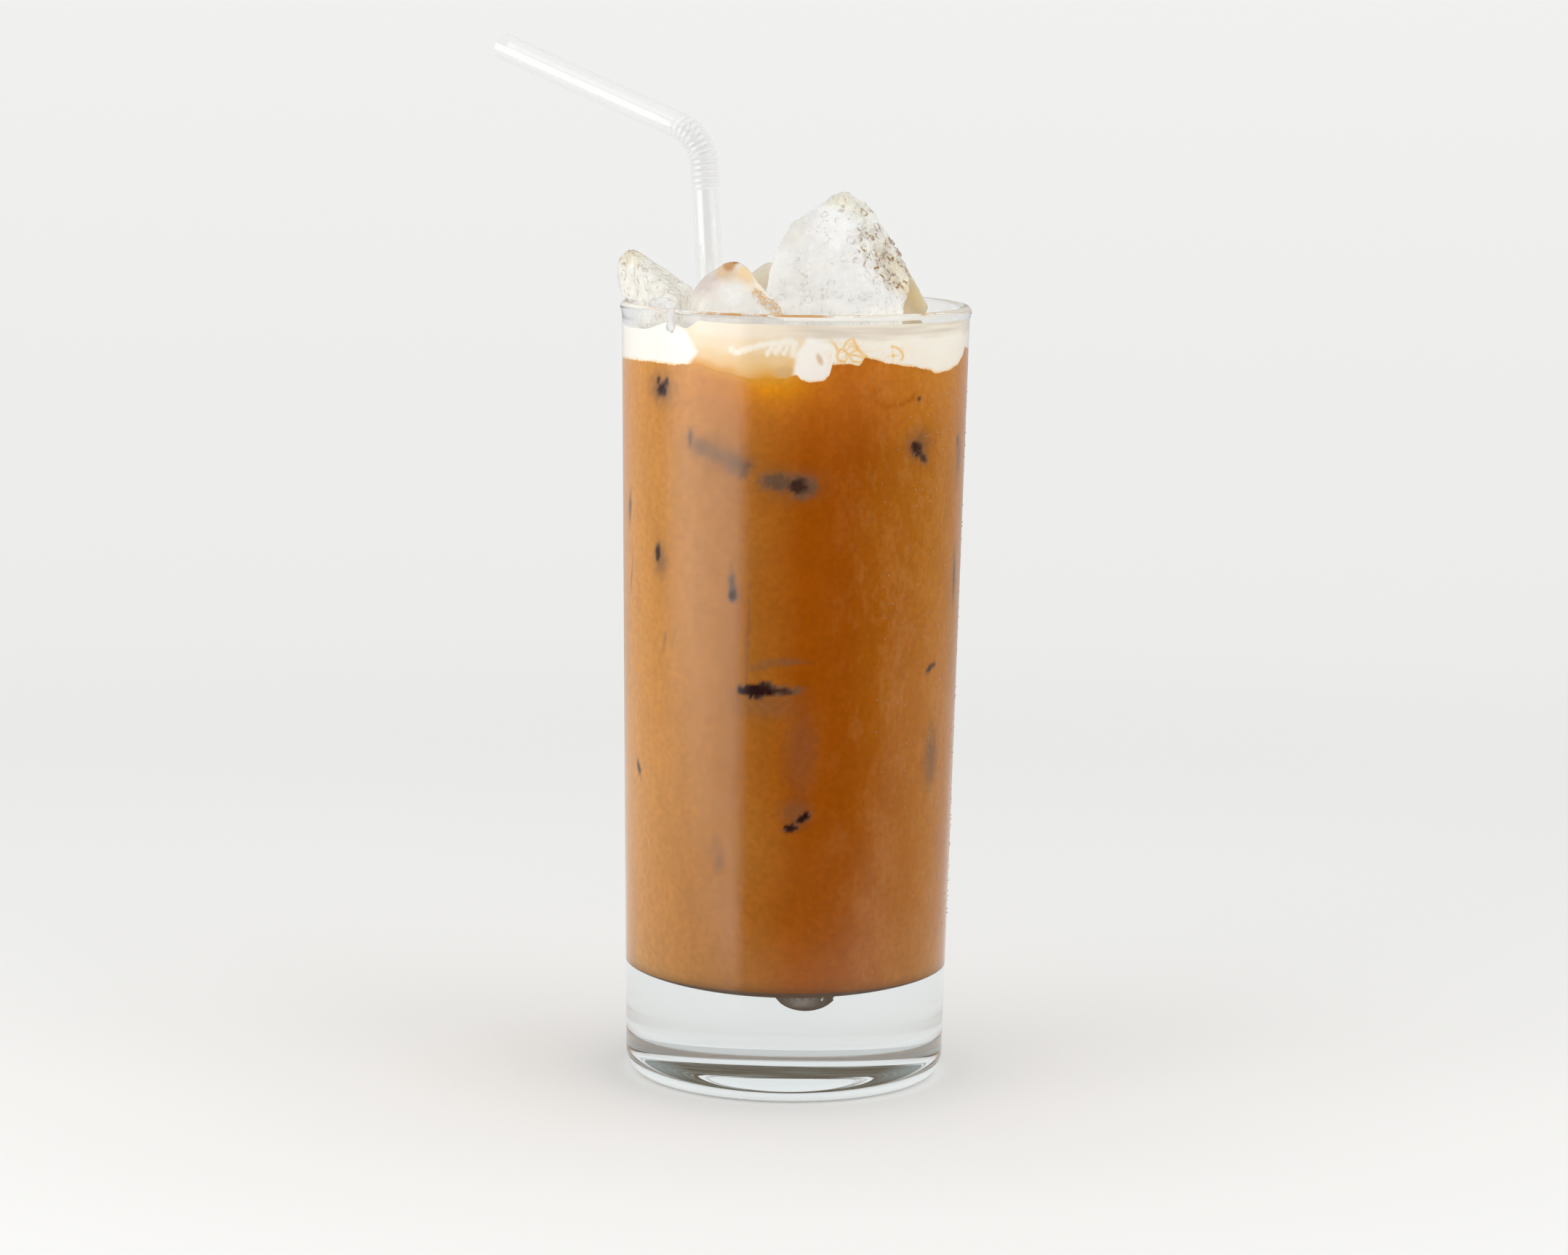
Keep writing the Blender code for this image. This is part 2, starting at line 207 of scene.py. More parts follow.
# Studio: a pale table that fades into a pale surround, dark only on the camera's side, with a soft box at
# the left. With the light and shade painted into the drink's colour, that gives the drink its bright left
# flank, its deep front and its pale right edge.
studio = {
    "surround": "#FFFFFE",
    "table": "#F3F3F2",
    # painted shade: the table's colour further back, darker as if less light reached it
    "tableFar": "#EFEFEE",
    "tableSolid": 0.20,            # radius that stays opaque, in metres
    "tableEnd": 0.62,
    "bright": 0.86,                # the surround behind and above
    "dimDiffuse": 0.50,            # its camera side, for light that lands on matt things
    "fill": 0.32,                  # what its right side adds for matt things
    "dimGloss": 0.02,
    "farGloss": 0.60,              # what glossy things mirror of its far side
    "dimThrough": 0.80,
    "seenLow": 0.815,              # what the camera sees of it, down at the table's end
    "seenHigh": 0.878,             # and from level upwards
    "boxes": {                     # soft: the shares of its width over which the two sides dim
        "softBoxLeft": {
            "azimuth": -64, "wide": 1.12, "radiance": 2.3, "soft": (0.42, 0.20), "mirrored": True},
        "softBoxRight": {
            "azimuth": 62, "wide": 0.80, "radiance": 1.7, "soft": (0.05, 0.05), "mirrored": False},
    },
    "boxDistance": 0.75,
    "boxHeight": 0.13,
    "boxTall": 0.74,
}


def buildStudio():
    s = studio
    world = bpy.data.worlds.new("studioSurround")
    bpy.context.scene.world = world
    world.use_nodes = True
    tree = world.node_tree
    tree.nodes.clear()
    path = addNode(tree, "ShaderNodeLightPath")
    way = addNode(tree, "ShaderNodeSeparateXYZ", {
        0: addNode(tree, "ShaderNodeTexCoord").outputs["Generated"]})
    behind = addNode(tree, "ShaderNodeMapRange", {
        "Value": way.outputs["Y"], "From Min": -0.25, "From Max": 0.5}, **smooth)
    above = addNode(tree, "ShaderNodeMapRange", {
        "Value": way.outputs["Z"], "From Min": 0.30, "From Max": 0.75}, **smooth)
    right = addNode(tree, "ShaderNodeMapRange", {
        "Value": way.outputs["X"], "From Min": 0.30, "From Max": 0.85, "To Max": s["fill"]}, **smooth)
    lit = addNode(tree, "ShaderNodeMath", {0: behind, 1: above}, operation="MAXIMUM")
    leftward = addNode(tree, "ShaderNodeMath", {
        0: way.outputs["X"], 1: -0.35, 2: way.outputs["Y"]}, operation="MULTIPLY_ADD")
    mirrored = addNode(tree, "ShaderNodeMapRange", {
        "Value": leftward, "From Min": -0.3, "From Max": 1.0, "To Min": s["dimGloss"],
        "To Max": s["farGloss"]})
    overhead = addNode(tree, "ShaderNodeMath", {0: above, 1: s["bright"]}, operation="MULTIPLY")
    glossy = addNode(tree, "ShaderNodeMath", {0: mirrored, 1: overhead}, operation="MAXIMUM")
    seen = addNode(tree, "ShaderNodeMapRange", {
        "Value": way.outputs["Z"], "From Min": -0.21, "From Max": 0.0, "To Min": s["seenLow"],
        "To Max": s["seenHigh"]})

    def strength(dim):
        return addNode(tree, "ShaderNodeMapRange", {"Value": lit, "To Min": dim, "To Max": s["bright"]})

    def choose(rayKind, yes, no):
        return addNode(tree, "ShaderNodeMapRange", {
            "Value": path.outputs[rayKind], "To Min": no, "To Max": yes})
    matte = addNode(tree, "ShaderNodeMath", {0: strength(s["dimDiffuse"]), 1: right}, operation="ADD")
    value = choose("Is Glossy Ray", glossy, matte)
    value = choose("Is Transmission Ray", strength(s["dimThrough"]), value)
    value = choose("Is Camera Ray", seen, value)
    pale = addNode(tree, "ShaderNodeBackground", {"Color": linear(s["surround"]), "Strength": value})
    addNode(tree, "ShaderNodeOutputWorld", {"Surface": pale})

    material, tree = newMaterial("table, matt white acrylic")
    place = addNode(tree, "ShaderNodeTexCoord").outputs["Object"]
    away = addNode(tree, "ShaderNodeVectorMath", {0: place}, operation="LENGTH")
    fade = addNode(tree, "ShaderNodeMapRange", {
        "Value": away.outputs["Value"], "From Min": s["tableSolid"], "From Max": s["tableEnd"]}, **smooth)
    spot = addNode(tree, "ShaderNodeSeparateXYZ", {0: place})
    front = addNode(tree, "ShaderNodeMapRange", {
        "Value": spot.outputs["Y"], "From Min": -0.06, "From Max": -0.17}, **smooth)
    right = addNode(tree, "ShaderNodeMapRange", {
        "Value": spot.outputs["X"], "From Min": 0.06, "From Max": 0.22, "To Max": 0.6}, **smooth)
    side = addNode(tree, "ShaderNodeMath", {0: front, 1: right}, operation="MAXIMUM")
    path = addNode(tree, "ShaderNodeLightPath")
    hidden = addNode(tree, "ShaderNodeMath", {
        0: side, 1: path.outputs["Is Glossy Ray"]}, operation="MULTIPLY")
    gone = addNode(tree, "ShaderNodeMath", {0: fade, 1: hidden}, operation="MAXIMUM")
    # painted shade: the table darkens towards the back, as if less light reached it there
    far = addNode(tree, "ShaderNodeMapRange", {
        "Value": spot.outputs["Y"], "From Min": -0.12, "From Max": 0.16})
    white = addNode(tree, "ShaderNodeMixRGB", {
        "Fac": far, "Color1": linear(s["table"]), "Color2": linear(s["tableFar"])})
    matt = addNode(tree, "ShaderNodeBsdfDiffuse", {"Color": white})
    clear = addNode(tree, "ShaderNodeBsdfTransparent")
    both = addNode(tree, "ShaderNodeMixShader", {"Fac": gone, 1: matt, 2: clear})
    addNode(tree, "ShaderNodeOutputMaterial", {"Surface": both})
    bm = bmesh.new()
    bmesh.ops.create_circle(bm, cap_ends=True, segments=96, radius=s["tableEnd"])
    table = placedMesh("table", bm)
    table.location = (axisX, 0, -0.0001)
    table.data.materials.append(material)

    for name, box in s["boxes"].items():
        lamp = bpy.data.lights.new(name, "AREA")
        lamp.shape = "RECTANGLE"
        lamp.size, lamp.size_y = box["wide"], s["boxTall"]
        lamp.energy = box["radiance"] * math.pi * box["wide"] * s["boxTall"]
        lamp.use_nodes = True          # its cloth glows less towards both sides
        tree = lamp.node_tree
        across = addNode(tree, "ShaderNodeSeparateXYZ", {
            0: addNode(tree, "ShaderNodeNewGeometry").outputs["Parametric"]}).outputs["X"]
        first = addNode(tree, "ShaderNodeMapRange", {"Value": across, "From Max": box["soft"][0]}, **smooth)
        second = addNode(tree, "ShaderNodeMapRange", {
            "Value": across, "From Min": 1.0, "From Max": 1 - box["soft"][1]}, **smooth)
        glow = addNode(tree, "ShaderNodeMath", {0: first, 1: second}, operation="MULTIPLY")
        tree.links.new(glow.outputs[0], tree.nodes["Emission"].inputs["Strength"])
        obj = placed(name, lamp)
        a = math.radians(box["azimuth"])
        reach = s["boxDistance"]
        obj.location = (axisX + reach * math.sin(a), -reach * math.cos(a), s["boxHeight"])
        inward = Vector((-math.sin(a), math.cos(a), 0))
        obj.rotation_euler = inward.to_track_quat("-Z", "Y").to_euler()
        obj.visible_camera = obj.visible_transmission = False
        obj.visible_glossy = box["mirrored"]
    view = bpy.context.scene.view_settings
    view.view_transform, view.look = "Standard", "None"


buildStudio()
print("studio built")


def outerRadius(z):
    s = glassShape
    return s["baseRadius"] + (s["mouthRadius"] - s["baseRadius"]) * z / glassHeight


def floorAt(r):
    s = glassShape
    return s["floorHeight"] + s["floorRadius"] - math.sqrt(s["floorRadius"] ** 2 - r * r)


def arcPoints(centre, radii, start, stop, steps):
    points = []
    for i in range(steps + 1):
        a = math.radians(start + (stop - start) * i / steps)
        points.append((centre[0] + radii[0] * math.cos(a), centre[1] + radii[1] * math.sin(a)))
    return points


# (r, z) points of the inside from the axis up to height top, drawn in by inset
def cavityProfile(inset, top, floorSteps=8):
    s = glassShape

    def wallRadius(z):
        return outerRadius(z) - s["wall"] - inset
    cornerR = wallRadius(s["floorHeight"]) - s["corner"]
    start = (cornerR, floorAt(cornerR) + inset)
    end = (wallRadius(start[1] + s["corner"]), start[1] + s["corner"])
    control = (wallRadius(start[1]) + 0.2 * mm, start[1] + 0.4 * mm)
    points = [(0.0, s["floorHeight"] + inset)]
    across = [cornerR * i / floorSteps for i in range(1, floorSteps)]
    points += [(r, floorAt(r) + inset) for r in across]
    for i in range(13):
        t = i / 12
        points.append(tuple((1 - t) ** 2 * a + 2 * t * (1 - t) * b + t * t * c
                            for a, b, c in zip(start, control, end)))
    points.append((wallRadius(top), top))
    return points


def glassProfile():
    s = glassShape
    footOuter = s["baseRadius"] - s["heelWidth"]
    footInner = footOuter - s["footRing"]
    points = [(0.0, s["recessCrown"]), (footInner * 0.3, s["recessCrown"] * 0.97),
              (footInner * 0.55, s["recessCrown"] * 0.9), (footInner * 0.8, s["recessCrown"] * 0.72),
              (footInner - 1.2 * mm, s["recessDepth"]), (footInner - 0.4 * mm, s["recessDepth"] * 0.45),
              (footInner, 0.0)]
    heel = s["heelHeight"]
    points += arcPoints((footOuter, heel), (outerRadius(heel) - footOuter, heel), -90, 0, 16)
    beadBottom = glassHeight - s["beadHeight"]
    points.append((outerRadius(beadBottom - 1.2 * mm), beadBottom - 1.2 * mm))
    points.append((outerRadius(beadBottom) + 0.05 * mm, beadBottom))
    half = (s["wall"] + s["beadProud"]) / 2
    centre = (outerRadius(glassHeight) + s["beadProud"] - half, glassHeight - half)
    points += arcPoints(centre, (half, half), 0, 180, 18)
    return points + cavityProfile(0.0, beadBottom)[::-1]


# a point r from the glass's axis, degrees round from the front
def onWall(r, degrees, z):
    a = math.radians(degrees)
    return (axisX + r * math.sin(a), -r * math.cos(a), z)


# faces between two rings of as many vertices
def band(low, high):
    after = [(i + 1) % len(low) for i in range(len(low))]
    return [(low[i], low[j], high[j], high[i]) for i, j in enumerate(after)]


# faces from a ring to a pole above it, or below it where the ring is turned over
def fan(ring, pole):
    return [(ring[i], ring[(i + 1) % len(ring)], pole) for i in range(len(ring))]


# turns (r, z) points round the glass's axis, with closed poles
def lathe(profile, sides):
    verts, rows, faces = [], [], []
    for r, z in profile:
        if r == 0.0:
            rows.append([len(verts)])
            verts.append((axisX, 0, z))
        else:
            rows.append(list(range(len(verts), len(verts) + sides)))
            verts += [onWall(r, 360 * i / sides, z) for i in range(sides)]
    for low, high in zip(rows, rows[1:]):
        if len(low) == 1:
            faces += fan(high[::-1], low[0])
        else:
            faces += fan(low, high[0]) if len(high) == 1 else band(low, high)
    return verts, faces


# Soda-lime glass, pressed and fire-polished: a clean mirror gloss with a faint blue-green depth in the base.
# Where the drink chills it, fine condensation dulls the gloss to satin. The middle of the underside carries
# painted shade and reflection of the drink, in streaks like those a mould leaves.
glassFinish = {
    "ior": 1.52,
    "tint": "#D5E8EC",
    "density": 5.5,
    "passing": "#FDFEFE",
    "chillLow": 34 * mm,           # condensation starts here
    "chillHigh": 141 * mm,         # and ends here
    "dewGrain": 0.30 * mm,
    "dewPatch": 7.6923 * mm,
    "dewRoughness": 0.20,
    "dewDepth": 0.05 * mm,
    "baseShade": "#8A7B62",             # painted shade and reflection of the drink seen in the base, in the middle of their oval
    "baseShadePale": "#B9C4BE",
    "baseShadeEdge": "#D2E6EA",
    "baseShadeHalf": (22.2 * mm, 9.1 * mm),
    "baseShadeBack": 1.0 * mm,          # how far behind the axis they are centred
    "baseShadeGrain": (14.286 * mm, 0.90909 * mm),
    "underside": 2.4 * mm,         # nothing above this is marked
    "scuffedPale": "#F2F6F6",           # heel, scuffed half matt; its white is also painted pale light over the drink's reflection there
    "groundFrom": 25.2 * mm,
    "groundHigh": 1.8 * mm,
    "groundShare": 0.60,
    "rimGold": "#C9924A",         # a thin golden line painted on the rim's inner edge, standing for the drink seen in the bead
    "goldInside": 33.4 * mm,
    "goldAbove": 149.55 * mm,
    "goldShare": 0.85,
}


def glassMaterial():
    g = glassFinish
    material, tree = newMaterial("glassware, pressed soda-lime")
    place = addNode(tree, "ShaderNodeTexCoord").outputs["Object"]
    axes = addNode(tree, "ShaderNodeSeparateXYZ", {0: place})
    height = axes.outputs["Z"]
    rise = addNode(tree, "ShaderNodeMapRange", {
        "Value": height, "From Min": g["chillLow"] - 0.004, "From Max": g["chillLow"] + 0.012}, **smooth)
    drop = addNode(tree, "ShaderNodeMapRange", {
        "Value": height, "From Min": g["chillHigh"] - 0.003, "From Max": g["chillHigh"] + 0.003,
        "To Min": 1.0, "To Max": 0.0}, **smooth)
    chilled = addNode(tree, "ShaderNodeMath", {0: rise, 1: drop}, operation="MULTIPLY")
    dew = addNode(tree, "ShaderNodeTexNoise", {
        "Vector": place, "Scale": 1 / g["dewGrain"], "Detail": 2.0, "Roughness": 0.6})
    patches = addNode(tree, "ShaderNodeTexNoise", {
        "Vector": place, "Scale": 1 / g["dewPatch"], "Detail": 4.0, "Roughness": 0.65})
    patchy = addNode(tree, "ShaderNodeMapRange", {
        "Value": patches, "From Min": 0.3, "From Max": 0.7, "To Min": 0.7, "To Max": 1.0})
    amount = addNode(tree, "ShaderNodeMath", {0: chilled, 1: patchy}, operation="MULTIPLY")
    rough = addNode(tree, "ShaderNodeMath", {0: amount, 1: g["dewRoughness"]}, operation="MULTIPLY")
    bumpHeight = addNode(tree, "ShaderNodeMath", {0: dew, 1: amount}, operation="MULTIPLY")
    bump = addNode(tree, "ShaderNodeBump", {
        "Height": bumpHeight, "Strength": 0.10, "Distance": g["dewDepth"]})
    body = addNode(tree, "ShaderNodeBsdfPrincipled", {
        "Base Color": linear("#FFFFFF"), "Roughness": rough, "IOR": g["ior"], "Transmission Weight": 1.0,
        "Normal": bump})

    # painted shade and reflection of the drink: fine streaks that run from side to side, in an oval on the
    # underside
    centred = addNode(tree, "ShaderNodeVectorMath", {
        0: place, 1: (axisX, g["baseShadeBack"], 0)}, operation="SUBTRACT")
    oval = addNode(tree, "ShaderNodeVectorMath", {
        0: centred, 1: (1 / g["baseShadeHalf"][0], 1 / g["baseShadeHalf"][1], 0)}, operation="MULTIPLY")
    reach = addNode(tree, "ShaderNodeVectorMath", {0: oval}, operation="LENGTH")
    streaked = addNode(tree, "ShaderNodeVectorMath", {
        0: centred, 1: (1 / g["baseShadeGrain"][0], 1 / g["baseShadeGrain"][1], 0)}, operation="MULTIPLY")
    streak = addNode(tree, "ShaderNodeTexNoise", {"Vector": streaked, "Scale": 1.0, "Detail": 3.0})
    edge = addNode(tree, "ShaderNodeMath", {
        0: streak, 1: 0.7, 2: reach.outputs["Value"]}, operation="MULTIPLY_ADD")
    inOval = addNode(tree, "ShaderNodeMapRange", {
        "Value": edge, "From Min": 1.22, "From Max": 1.38, "To Min": 1.0, "To Max": 0.0}, **smooth)
    under = addNode(tree, "ShaderNodeMath", {0: height, 1: g["underside"]}, operation="LESS_THAN")
    shadedUnder = addNode(tree, "ShaderNodeMath", {0: inOval, 1: under}, operation="MULTIPLY")
    side = addNode(tree, "ShaderNodeSeparateXYZ", {0: oval})
    sideways = addNode(tree, "ShaderNodeMath", {0: side.outputs["X"]}, operation="ABSOLUTE")
    outward = addNode(tree, "ShaderNodeMapRange", {"Value": sideways, "From Min": 0.55, "From Max": 0.80})
    thin = addNode(tree, "ShaderNodeMapRange", {"Value": streak, "From Min": 0.49, "From Max": 0.62})
    shadeTone = addNode(tree, "ShaderNodeMixRGB", {
        "Fac": thin, "Color1": linear(g["baseShade"]), "Color2": linear(g["baseShadePale"])})
    shadeColour = addNode(tree, "ShaderNodeMixRGB", {
        "Fac": outward, "Color1": shadeTone, "Color2": linear(g["baseShadeEdge"])})
    baseShade = addNode(tree, "ShaderNodeBsdfDiffuse", {"Color": shadeColour})

    # the heel that stands on the table: scuffed half matt, its white also painted pale light that covers the
    # drink's reflection
    fromAxis = addNode(tree, "ShaderNodeVectorMath", {0: place, 1: (axisX, 0, 0)}, operation="SUBTRACT")
    flat = addNode(tree, "ShaderNodeVectorMath", {0: fromAxis, 1: (1, 1, 0)}, operation="MULTIPLY")
    radius = addNode(tree, "ShaderNodeVectorMath", {0: flat}, operation="LENGTH")
    outside = addNode(tree, "ShaderNodeMath", {
        0: radius.outputs["Value"], 1: g["groundFrom"]}, operation="GREATER_THAN")
    low = addNode(tree, "ShaderNodeMath", {0: height, 1: g["groundHigh"]}, operation="LESS_THAN")
    standing = addNode(tree, "ShaderNodeMath", {0: outside, 1: low}, operation="MULTIPLY")
    scuffedPaleMatt = addNode(tree, "ShaderNodeBsdfDiffuse", {"Color": linear(g["scuffedPale"])})
    wornAndPale = addNode(tree, "ShaderNodeMath", {0: standing, 1: g["groundShare"]}, operation="MULTIPLY")
    footed = addNode(tree, "ShaderNodeMixShader", {"Fac": wornAndPale, 1: body, 2: scuffedPaleMatt})

    # a painted golden line along the front of the rim, standing for the drink seen in the bead, broken here
    # and there
    inner = addNode(tree, "ShaderNodeMath", {
        0: radius.outputs["Value"], 1: g["goldInside"]}, operation="LESS_THAN")
    top = addNode(tree, "ShaderNodeMath", {0: height, 1: g["goldAbove"]}, operation="GREATER_THAN")
    nearSide = addNode(tree, "ShaderNodeMapRange", {
        "Value": axes.outputs["Y"], "From Min": -0.015, "From Max": -0.024}, **smooth)
    ring = addNode(tree, "ShaderNodeMath", {0: inner, 1: top}, operation="MULTIPLY")
    front = addNode(tree, "ShaderNodeMath", {0: ring, 1: nearSide}, operation="MULTIPLY")
    breaks = addNode(tree, "ShaderNodeMapRange", {
        "Value": patches, "From Min": 0.42, "From Max": 0.55, "To Max": g["goldShare"]})
    # painted: where the golden line of the drink seen in the bead lies, and its colour
    stained = addNode(tree, "ShaderNodeMath", {0: front, 1: breaks}, operation="MULTIPLY")
    film = addNode(tree, "ShaderNodeBsdfDiffuse", {"Color": linear(g["rimGold"])})
    goldLined = addNode(tree, "ShaderNodeMixShader", {"Fac": stained, 1: footed, 2: film})
    marked = addNode(tree, "ShaderNodeMixShader", {"Fac": shadedUnder, 1: goldLined, 2: baseShade})
    depth = addNode(tree, "ShaderNodeVolumeAbsorption", {"Color": linear(g["tint"]), "Density": g["density"]})
    addNode(tree, "ShaderNodeOutputMaterial", {
        "Surface": lightPassing(tree, marked, g["passing"]), "Volume": depth})
    return material


def buildGlass():
    s = glassShape
    verts, faces = lathe(glassProfile(), s["sides"])
    material = glassMaterial()
    glass = pieceFrom("glassBody", verts, faces, material, "glass")
    bm = bmesh.new()
    bmesh.ops.create_uvsphere(bm, u_segments=64, v_segments=40, radius=s["pitRadius"])
    bmesh.ops.translate(bm, verts=bm.verts,
                        vec=(axisX + s["pitOffset"], 0, s["floorHeight"] - s["pitDepth"] + s["pitRadius"]))
    pit = placedMesh("pit", bm)
    cut = glass.modifiers.new("pit", "BOOLEAN")
    cut.operation, cut.solver, cut.object = "DIFFERENCE", "EXACT", pit
    bakeModifiers(glass)
    bpy.data.objects.remove(pit)
    dressed(glass, material, "glass", "glass", smoothAngle=40)
    return glass


buildGlass()
print("glass built")


# Drink. Angles are in degrees from the front of the glass, positive to the right; heights in millimetres.
drink = {
    "intoWall": 0.06 * mm,         # how far the fill reaches into the wall, so that no air gap shows
    "around": 420,
    "rows": 160,
    "tuck": 0.25 * mm,             # how far it goes on up behind the cream
    "middleTop": 139.9 * mm,
    "flank": "#D69A4A",            # left, painted lighter where the soft box falls and veils the dewy glass in front
    "turn": "#B6772A",
    "deep": "#A85600",             # just right of the front, painted darker where the drink is in shade
    "edge": "#C27E1E",             # right
    "back": "#C98A42",
    "upper": "#D98E3E",            # just under the cream
    "gold": "#E8970C",             # the glow at the foot of the cloudy stretch
    "foot": "#B8783A",             # milk that has sunk
    "iceHaloAndShade": "#7D6048",          # sunk ice a little behind the glass; also the painted shade on the bowl's floor
    "iceCore": "#2C1210",          # where it touches and shows clear and dark
    # the drink in the floor's pit, painted dark as shade, and the grey reflection painted across its middle
    "pit": "#6E5844",
    "pitGleam": "#B8ACA0",
    "hazy": "#C08C50",             # painted veil: light that the beads of dew on the front scatter, painted into the drink
    "hazyAcross": (3 * mm, 15 * mm),      # the veil grows over this stretch right of the axis
    "hazyShare": 0.20,
    "fineGrain": 1.1111 * mm,
    "broadGrain": 4.3478 * mm,
    "ior": 1.34,
    # foot of the cream where it meets the wall, as angle and height, judged from the front
    "hem": [(-90, 139.1), (-66, 139.5), (-58, 139.7), (-45, 139.6), (-40, 139.9), (-35, 140.3), (-24, 138.9),
            (-14, 137.9), (-4, 138.1), (0.5, 138.8), (2, 138.0), (5, 137.5), (9.5, 137.7), (11.5, 138.8),
            (12.7, 140.8), (18, 140.9), (22, 140.6), (24, 142.0), (28, 141.6), (33, 140.8), (42, 140.1),
            (50, 139.4), (56, 138.4), (63, 138.7), (70, 139.4), (75, 140.6), (79, 142.4), (88, 142.0),
            (104, 140.9), (128, 139.3), (150, 140.4), (176, 141.2), (204, 140.1), (226, 138.9), (250, 139.5)],
}
# Where sunk ice touches the wall: angle, height, half-width, half-height in mm, tilt in degrees (positive
# falls to the right), strength, softness.
iceMarks = [
    (-50.5, 134.7, 1.7, 1.4, 0, 0.98, 0.5), (-53.0, 136.4, 0.6, 1.0, 20, 0.85, 0.5),
    (-48.2, 136.3, 0.6, 1.0, -15, 0.85, 0.5), (-51.5, 134.9, 3.6, 2.8, 0, 0.45, 1.0),
    (-37.6, 126.0, 0.7, 1.9, 0, 0.60, 0.8), (-32.6, 124.7, 3.2, 1.8, 14, 0.46, 0.8),
    (-26.4, 123.4, 3.2, 1.8, 16, 0.44, 0.8), (-20.4, 122.0, 2.8, 2.0, 22, 0.47, 0.8),
    (-16.6, 121.2, 1.4, 2.0, 20, 0.56, 0.9), (-26.0, 123.4, 8.0, 2.8, 15, 0.20, 1.0),
    (-5.0, 118.9, 4.2, 1.9, 2, 0.62, 0.6), (1.8, 118.2, 2.3, 2.0, 0, 0.85, 0.6),
    (5.6, 118.0, 1.6, 1.9, 20, 0.6, 0.7), (3.0, 115.9, 1.0, 0.6, 10, 0.5, 0.7),
    (-1.0, 118.4, 5.8, 2.8, 0, 0.22, 1.0), (46.8, 133.8, 0.5, 0.5, 0, 0.95, 0.5),
    (46.6, 124.4, 1.9, 1.5, 34, 0.9, 0.5), (50.0, 122.6, 1.5, 0.9, 48, 0.8, 0.6),
    (47.6, 125.2, 3.2, 2.8, 20, 0.38, 1.0), (74.0, 125.0, 0.8, 1.1, 0, 0.7, 0.8),
    (76.0, 122.0, 1.6, 4.0, 0, 0.38, 1.0), (76.0, 99.0, 0.9, 5.2, 0, 0.62, 0.8),
    (-74.5, 111.2, 0.9, 3.0, 8, 0.6, 0.8), (-73.0, 98.2, 0.35, 3.2, 14, 0.5, 0.7),
    (-53.2, 103.6, 0.9, 1.8, 0, 0.9, 0.6), (-51.6, 102.4, 1.8, 2.7, 0, 0.42, 1.0),
    (-20.7, 99.2, 0.7, 3.1, -4, 0.66, 0.8), (-20.4, 97.2, 1.0, 1.4, 0, 0.85, 0.7),
    (-49.6, 87.0, 0.45, 1.6, 10, 0.3, 0.9), (-45.0, 88.0, 0.35, 2.0, 18, 0.16, 0.9),
    (-15.0, 89.5, 0.24, 9.0, 1, 0.40, 0.7), (-3.5, 84.9, 5.2, 0.42, -3, 0.45, 0.8),
    (-9.5, 83.9, 3.0, 0.5, -14, 0.3, 0.9), (-12.4, 79.2, 3.8, 1.25, 0, 1.0, 0.35),
    (-6.6, 79.4, 5.6, 1.0, 0, 0.85, 0.7), (-9.0, 80.4, 1.4, 0.8, 0, 0.9, 0.4),
    (-7.5, 76.6, 6.0, 2.2, 0, 0.26, 1.0), (58.5, 82.2, 2.3, 0.6, -22, 0.8, 0.6),
    (-66.7, 61.3, 0.65, 1.8, -28, 0.9, 0.5), (60.9, 65.0, 2.4, 5.6, 0, 0.42, 1.0),
    (4.5, 68.0, 2.9, 8.0, 0, 0.20, 1.0), (1.2, 53.3, 1.5, 0.8, -10, 0.95, 0.4),
    (5.4, 55.2, 1.7, 0.8, -32, 0.95, 0.45), (3.0, 56.2, 2.8, 2.4, 0, 0.3, 1.0),
    (-24.7, 46.2, 1.0, 2.0, 15, 0.36, 0.9), (-26.5, 49.0, 1.4, 2.6, 15, 0.16, 1.0),
    (130.0, 118.0, 2.8, 1.3, 20, 0.8, 0.6), (165.0, 96.0, 3.4, 0.9, -8, 0.75, 0.6),
    (205.0, 124.0, 2.2, 1.6, 30, 0.8, 0.6), (235.0, 84.0, 1.4, 3.0, 10, 0.6, 0.8),
    (150.0, 60.0, 4.2, 1.0, 12, 0.85, 0.5), (190.0, 48.0, 2.0, 2.6, -20, 0.5, 0.9),
    (250.0, 52.0, 1.6, 1.2, 0, 0.9, 0.5), (110.0, 78.0, 1.2, 2.0, 25, 0.8, 0.6),
]
# Outlines of ice and bubbles just behind the wall: angle, height, half-width, half-height, strength.
ringMarks = [(36.0, 135.2, 5.0, 2.2, 0.55), (8.7, 131.8, 1.6, 4.2, 0.30), (3.2, 121.4, 0.7, 0.7, 0.25)]


